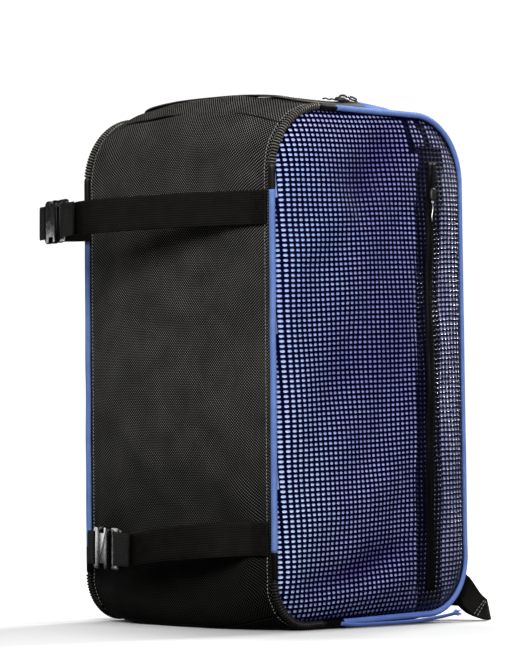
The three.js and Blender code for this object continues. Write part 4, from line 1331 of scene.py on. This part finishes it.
def main_tapes(plan, aside, length):
    rise = zip_rise(plan)[:, None]
    inward = np.linspace(MAIN_TAPE["half"], MAIN_TAPE["gap"], MAIN_TAPE["columns"])
    for number, across in ((1, -inward[::-1]), (2, inward)):
        grid = plan[:, None] + aside[:, None] * across[None, :, None]
        lift = MAIN_TAPE["lift"] + rise * (1 - np.abs(across) / MAIN_TAPE["half"])
        chart = np.stack(np.broadcast_arrays(across[None, :], length[:, None]), axis=-1)
        outer = on_top_panel(grid, lift)
        tape = closed_sheet(f"main_zip_tape_{number}", outer, MAIN_TAPE["thick"], chart, True)
        dress(tape, MAIN_ZIP_TAPE, "zip_tape", "main_zip_tape")


def main_teeth(plan, aside, length):
    """The zip's teeth, which stand out to one side and the other in turn."""
    share, reach = TOOTH_STATIONS.T
    teeth = []
    for number, middle in enumerate(np.arange(TOOTH["first"], length[-1], TOOTH["pitch"])):
        at = at_lengths(middle, length, plan)
        way = unit(at_lengths(middle, length, aside))
        shift = TOOTH["shift"] * (1 if number % 2 else -1)
        tooth = at + way * (share * TOOTH["length"] + shift)[:, None]
        line = on_top_panel(tooth, TOOTH["lift"] + zip_rise(at))
        teeth.append(free_tube(line, reach * TOOTH["radius"], TOOTH["sides"]))
    dress(new_piece("main_zip_teeth", *joined(teeth)), COIL, "zip_coil", "main_zip_coil")


def main_zip():
    plan, aside = main_course()
    length = travelled(plan)
    main_tapes(plan, aside, length)
    main_teeth(plan, aside, length)


def on_zip(points):
    """Points of the slider, ring and pull, from their own frame: x across, y along, z up from the teeth."""
    leg = MAIN_ZIP["leg_x"]
    slope = math.atan(top_height(leg - 0.5) - top_height(leg + 0.5))
    x, y, z = np.moveaxis(np.asarray(points, float), -1, 0)
    level = top_height(leg) + ZIP_LIFT
    return np.stack([leg + x * math.cos(slope) + z * math.sin(slope), y,
                     level + z * math.cos(slope) - x * math.sin(slope)], axis=-1)


def main_slider():
    angle = np.linspace(0, 2 * math.pi, SLIDER_ROUND["sides"], endpoint=False)
    across, upward = (np.sign(wave) * np.abs(wave) ** SLIDER_ROUND["power"]
                      for wave in (np.cos(angle), np.sin(angle)))
    rings = []
    for row in SLIDER_SECTIONS:
        middle, reach = (row["high"] + row["low"]) / 2, (row["high"] - row["low"]) / 2
        ring = (row["half"] * across, np.full_like(across, row["y"]), middle + reach * upward)
        rings.append(np.stack(ring, axis=-1))
    bridge = free_tube(on_zip(smooth_route(SLIDER_BRIDGE, BRIDGE_STEPS)), BRIDGE_RADIUS)
    points, faces = joined([swept(on_zip(np.array(rings))), bridge])
    dress(new_piece("main_zip_slider_body", points, faces), BLACK_METAL, "black_metal", "main_zip_slider")


def main_ring():
    lean = math.radians(RING["tilt"])
    angle = np.linspace(0, 2 * math.pi, RING["points"], endpoint=False)
    aside, along = np.cos(angle), np.sin(angle)
    spoke = np.stack([aside * math.cos(lean), along, -aside * math.sin(lean)], axis=-1)
    axis = np.broadcast_to((math.sin(lean), 0.0, math.cos(lean)), spoke.shape)
    centres = spoke * RING["radius"] + (0.0, RING["y"], RING["height"])
    points = on_zip(tube_rings(centres, spoke, axis, RING["wire"], RING["sides"]))
    count, sides = points.shape[:2]
    faces = grid_faces(count + 1, sides, wrap=True) % (count * sides)
    dress(new_piece("main_zip_ring_wire", points, faces), BLACK_METAL, "black_metal", "main_zip_ring")


def main_pull():
    share = np.linspace(0, 1, PULL["points"])
    along = PULL["from"] + (PULL["to"] - PULL["from"]) * share
    height = PULL["height"] + PULL["sway"] * np.sin(2 * math.pi * along / PULL["wave"])
    course = on_zip(np.stack([0 * along, along, height], axis=-1))
    width = PULL["width"] * (1 - PULL["taper"] * share)
    piece = strap_piece("main_zip_pull_tape", course, PULL["across"], width, PULL["thick"], **SLIM_BAND)
    dress(piece, WEB, "webbing", "main_zip_pull")


def zip_tabs():
    """The folded ends of tape that close the zip: wedges that thin out towards the back."""
    rows = np.linspace(TAB["from"], TAB["to"], TAB["rows"])
    y, share = np.meshgrid(rows, np.linspace(-1, 1, TAB["columns"]), indexing="ij")
    x = MAIN_ZIP["leg_x"] + share * TAB["width"] / 2
    along = (y - TAB["from"]) / (TAB["to"] - TAB["from"])
    thick = TAB["front"] + (TAB["back"] - TAB["front"]) * along ** TAB["thins"]
    fold = share - TAB_CREASE["from"] + TAB_CREASE["slant"] * along
    crease = TAB_CREASE["depth"] * bell(fold, TAB_CREASE["wide"]) * smoothstep(thick, *TAB_CREASE["thick"])
    edge = 1 - np.abs(share) ** TAB_EDGE["power"] * TAB_EDGE["drop"]
    front = 1 - TAB_EDGE["front_drop"] * np.exp(-along / TAB_EDGE["front_reach"])
    base = np.stack([x, y, top_height(x) + TAB["lift"]], axis=-1)
    top = base + (thick * edge * front - crease)[..., None] * UPWARD
    chart = np.stack([x, y], axis=-1)
    for suffix, sign in SIDES:
        upper, lower = mirrored(top, sign), mirrored(base, sign)
        piece = closed_pair(f"main_zip_tab_tape_{suffix}", upper, lower, chart, sign > 0)
        dress(piece, PIPING, "piping", f"main_zip_tab_{suffix}")
        bodies = []
        for column in TAB_SEAM["columns"]:
            line = mirrored(top[1:-1, column] + UPWARD * TAB_SEAM["lift"], sign)
            bodies.extend(stitch_row(line, mirrored(TAB_SEAM["up"], sign)))
        body_piece(f"main_zip_tab_stitches_{suffix}", bodies, PIPING, "piping")


main_zip()
main_slider()
main_ring()
main_pull()
zip_tabs()


# Straps and buckles

def turned(rows, strap):
    """Points given along a buckle and out from it, in the bag's frame."""
    angle = math.radians(strap["turn"])
    along = np.array((math.cos(angle), math.sin(angle), 0.0))
    out = np.array((-math.sin(angle), math.cos(angle), 0.0))
    return [tuple(np.array(strap["buckle"]) + along * a + out * b) for a, b in rows]


def box_stitches(course, start, end):
    """A sewn box with a cross in it, on the outer face of an upright strap between two distances along it."""
    length = travelled(course)
    out = np.cross(heading(course), UPWARD)
    out = out * -np.sign(out[:, 1:2])
    half = SEWN_BOX["half"]
    corners = ((start, -half), (start, half), (end, half), (end, -half))
    bodies = []
    for first, last in ((0, 1), (1, 2), (2, 3), (3, 0), (0, 2), (1, 3)):
        along, aside = np.linspace(corners[first], corners[last], SEWN_BOX["points"]).T
        up = at_lengths(along, length, out)
        line = at_lengths(along, length, course) + up * WEBBING["thick"] / 2
        line[:, 2] += aside
        bodies.extend(stitch_row(line, up))
    return bodies


def front_straps():
    for strap in STRAPS:
        boxes = []
        long_route = [*strap["long"], *turned(MALE_TURN, strap)]
        short_route = [*turned(FEMALE_TURN, strap), *strap["short"]]
        for kind, route, way in (("long", long_route, 1), ("short", short_route, -1)):
            course = smooth_route(route)
            name = f"{strap['name']}_webbing_{kind}"
            piece = strap_piece(f"{name}_woven", course, UPWARD, **WEBBING)
            dress(piece, WEB, "webbing", name)
            boxes.extend(box_stitches(course[::way], *SEWN_BOX[kind]))
        body_piece(f"{strap['name']}_stitches", boxes, WEB, "webbing")
        for kind in ("male", "female"):
            name = f"{strap['name']}_buckle_{kind}"
            dress(softened(name, f"{name}_moulded", BUCKLE_EDGE), PLASTIC, "plastic", name)


front_straps()


# Shoulder straps

def applied(piece):
    """Gives a piece the mesh that its modifiers make of it."""
    shape = piece.evaluated_get(bpy.context.evaluated_depsgraph_get())
    mesh = bpy.data.meshes.new_from_object(shape)
    piece.modifiers.clear()
    piece.data = mesh


def put_points(piece, points):
    piece.data.vertices.foreach_set("co", (points * MM).astype(np.float32).ravel())
    piece.data.update()


def filled(piece):
    """Blows a slack pad up by cloth simulation, with a cap on how far a point may move."""
    even = piece.modifiers.new("even", "REMESH")
    even.mode = "VOXEL"
    even.voxel_size = FILLING["voxel"] * MM
    applied(piece)
    slack = mesh_points(piece)
    cloth = piece.modifiers.new("filling", "CLOTH")
    cloth.settings.use_pressure = True
    cloth.settings.uniform_pressure_force = FILLING["pressure"]
    cloth.settings.effector_weights.gravity = 0
    cloth.point_cache.frame_end = FILLING["frames"]
    for number in range(1, FILLING["frames"] + 1):
        bpy.context.scene.frame_set(number)
    applied(piece)
    bpy.context.scene.frame_set(1)
    move = mesh_points(piece) - slack
    reach = np.linalg.norm(move, axis=1, keepdims=True)
    put_points(piece, slack + move * np.minimum(1, FILLING["most"] / np.maximum(reach, TINY)))


def drawn_in(points, course, width):
    """A pad's points, drawn towards its middle layer along the two sewn channels."""
    order = np.argsort(course[:, 2])
    rows = np.column_stack([course, width])[order]
    middle_x, middle_y, wide = at_lengths(points[:, 2], rows[:, 2], rows[:, (0, 1, 3)]).T
    aside = np.abs(points[:, 0] - middle_x) - CHANNEL["across"] * wide / 2
    pull = CHANNEL["depth"] * bell(aside, CHANNEL["wide"])
    return points + ((middle_y - points[:, 1]) * pull)[:, None] * BACKWARD


def pad_shape():
    """One shoulder pad: a slack form, filled, then drawn in along two sewn channels."""
    course = smooth_route(PAD_ROUTE)
    share = np.linspace(0, 1, len(course))
    width = PAD["width"] + (PAD["narrow"] - PAD["width"]) * smoothstep(share, PAD["taper_from"], 1)
    full = smoothstep(np.minimum(share, 1 - share), 0, PAD["end_share"])
    thick = PAD["end"] + (PAD["thick"] - PAD["end"]) * full
    slack = strap_piece("pad_form", course, RIGHTWARD, width, thick, **PAD_BAND)
    filled(slack)
    put_points(slack, drawn_in(mesh_points(slack), course, width))
    smooth = slack.modifiers.new("smooth", "SUBSURF")
    smooth.levels = smooth.render_levels = 1
    applied(slack)
    points = mesh_points(slack)
    faces = [list(face.vertices) for face in slack.data.polygons]
    bpy.data.objects.remove(slack)
    return course, width, points, faces


def pad_trim(course, width, surface):
    """The pad's edge binding and the stitches in its channels, as bodies."""
    inside = slice(PAD_BINDING["ends"], -PAD_BINDING["ends"])
    course, half = course[inside], width[inside, None] / 2
    sewn = slice(CHANNEL["ends"], -CHANNEL["ends"])
    edges, seams = [], []
    for sign in (-1, 1):
        edges.append(free_tube(course + sign * half * RIGHTWARD, PAD_BINDING["radius"], PAD_BINDING["sides"]))
        line = (course + sign * half * CHANNEL["across"] * RIGHTWARD)[sewn]
        for point in line:
            near = np.hypot(surface[:, 0] - point[0], surface[:, 2] - point[2]) < CHANNEL["wide"]
            point[1] = surface[near, 1].max() - CHANNEL["sink"]
        seams.extend(stitch_row(line, BACKWARD))
    return joined(edges), joined(seams)


def webbing_hem(suffix, course, across):
    """A second layer sewn round the bend of the lower webbing, with rows of stitches across it."""
    first, last = (round(HEM[key] * (len(course) - 1)) for key in ("from", "to"))
    course = course[first:last]
    ahead = heading(course)
    across = square_to(ahead, across[first:last])
    out = np.cross(ahead, across)
    out = out * np.sign((out * (course - course.mean(axis=0))).sum())
    lapped = course + out * (NARROW["thick"] + HEM["gap"])
    dress(strap_piece(f"shoulder_webbing_hem_{suffix}", lapped, across, **NARROW), WEB, "webbing")
    aside = np.linspace(-HEM["row_half"], HEM["row_half"], HEM["points"])[:, None] * NARROW["width"]
    bodies = []
    for share in HEM["stitch_rows"]:
        at = round(share * (len(lapped) - 1))
        bodies.extend(stitch_row(lapped[at] + out[at] * NARROW["thick"] / 2 + aside * across[at], out[at]))
    body_piece(f"shoulder_webbing_hem_stitches_{suffix}", bodies, THREAD, "webbing")


def shoulder_straps():
    course, width, pad_points, pad_faces = pad_shape()
    trim = pad_trim(course, width, pad_points)
    loop = smooth_route(LOOP_ROUTE)
    lower = smooth_route(LOWER_ROUTE)
    share = np.linspace(0, 1, len(lower))
    turn = smoothstep(share, LOWER_TWIST["from"], LOWER_TWIST["to"])[:, None]
    lower_across = RIGHTWARD * (1 - turn) + LOWER_TWIST["across"] * turn
    for suffix, sign in SIDES:
        pad = new_piece(f"shoulder_pad_padded_{suffix}", mirrored(pad_points, sign),
                        [face[::sign] for face in pad_faces])
        dress(pad, PAD_CLOTH, "pad", f"shoulder_pad_{suffix}")
        for (points, faces), kind, material in zip(trim, ("binding", "stitches"), (WEB, THREAD)):
            body = (mirrored(points, sign), [face[::sign] for face in faces])
            body_piece(f"shoulder_pad_{kind}_{suffix}", [body], material, "webbing")
        piece = strap_piece(f"shoulder_loop_woven_{suffix}", mirrored(loop, sign), RIGHTWARD, **NARROW)
        dress(piece, WEB, "webbing", f"shoulder_loop_{suffix}")
        route, across = mirrored(lower, sign), mirrored(lower_across, sign)
        piece = strap_piece(f"shoulder_webbing_woven_{suffix}", route, across, **NARROW)
        dress(piece, WEB, "webbing", f"shoulder_webbing_{suffix}")
        webbing_hem(suffix, route, across)
        lock = softened(f"shoulder_lock_{suffix}", f"shoulder_lock_moulded_{suffix}", BUCKLE_EDGE)
        dress(lock, PLASTIC, "plastic", f"shoulder_lock_{suffix}")


shoulder_straps()


# Floor and light

def stage():
    """A pale floor with a painted shadow that darkens it under the bag, and that clears into the backdrop
    further out.
    """
    data = bpy.data.meshes.new("floor")
    corners = [(x * FLOOR_REACH, y * FLOOR_REACH, 0) for x, y in ((-1, -1), (1, -1), (1, 1), (-1, 1))]
    data.from_pydata(corners, [], [(0, 1, 2, 3)])
    floor = placed("floor", data)
    floor.visible_diffuse = False
    floor.visible_glossy = False
    paint = Paint("studio_floor", (0.93, 0.93, 0.93), 0.6, Specular_IOR_Level=0.1)
    paint.roughness(paint.noise(3.0), 0.5, 0.7)
    far = paint.node("ShaderNodeVectorMath", operation="LENGTH")
    near = paint.node("ShaderNodeVectorMath", operation="DISTANCE")
    for measure in (far, near):
        paint.feed(measure.inputs[0], paint.place())
    paint.feed(near.inputs[1], FLOOR_SHADE["at"])
    shade = paint.fade(near.outputs["Value"], *FLOOR_SHADE["reach"])
    paint.color(shade, FLOOR_SHADE["dark"], FLOOR_SHADE["pale"])
    mix = paint.node("ShaderNodeMixShader")
    paint.feed(mix.inputs[0], paint.fade(far.outputs["Value"], *FLOOR_CLEARS))
    paint.feed(mix.inputs[1], paint.shader.outputs[0])
    paint.feed(mix.inputs[2], paint.node("ShaderNodeBsdfTransparent").outputs[0])
    paint.feed(paint.tree.nodes["Material Output"].inputs[0], mix.outputs[0])
    data.materials.append(paint.material)


def lamps():
    for row in LAMPS:
        data = bpy.data.lights.new(row["name"], "AREA")
        data.shape = "RECTANGLE"
        data.size, data.size_y = row["size"]
        data.energy = row["power"]
        lamp = placed(row["name"], data)
        lamp.location = row["place"]
        lamp.rotation_euler = facing(AIM - Vector(row["place"]))


def surroundings():
    """A white backdrop for the camera, and a dimmer one as light for the bag."""
    world = bpy.data.worlds.new("studio")
    world.use_nodes = True
    tree = world.node_tree
    surround = tree.nodes["Background"]
    backdrop = tree.nodes.new("ShaderNodeBackground")
    for background, strength in ((surround, SURROUND), (backdrop, BACKDROP)):
        background.inputs["Strength"].default_value = strength
        background.inputs["Color"].default_value = (1, 1, 1, 1)
    path = tree.nodes.new("ShaderNodeLightPath")
    mix = tree.nodes.new("ShaderNodeMixShader")
    tree.links.new(path.outputs["Is Camera Ray"], mix.inputs[0])
    tree.links.new(surround.outputs[0], mix.inputs[1])
    tree.links.new(backdrop.outputs[0], mix.inputs[2])
    tree.links.new(mix.outputs[0], tree.nodes["World Output"].inputs[0])
    bpy.context.scene.world = world
    bpy.context.scene.view_settings.view_transform = "Standard"


stage()
lamps()
surroundings()
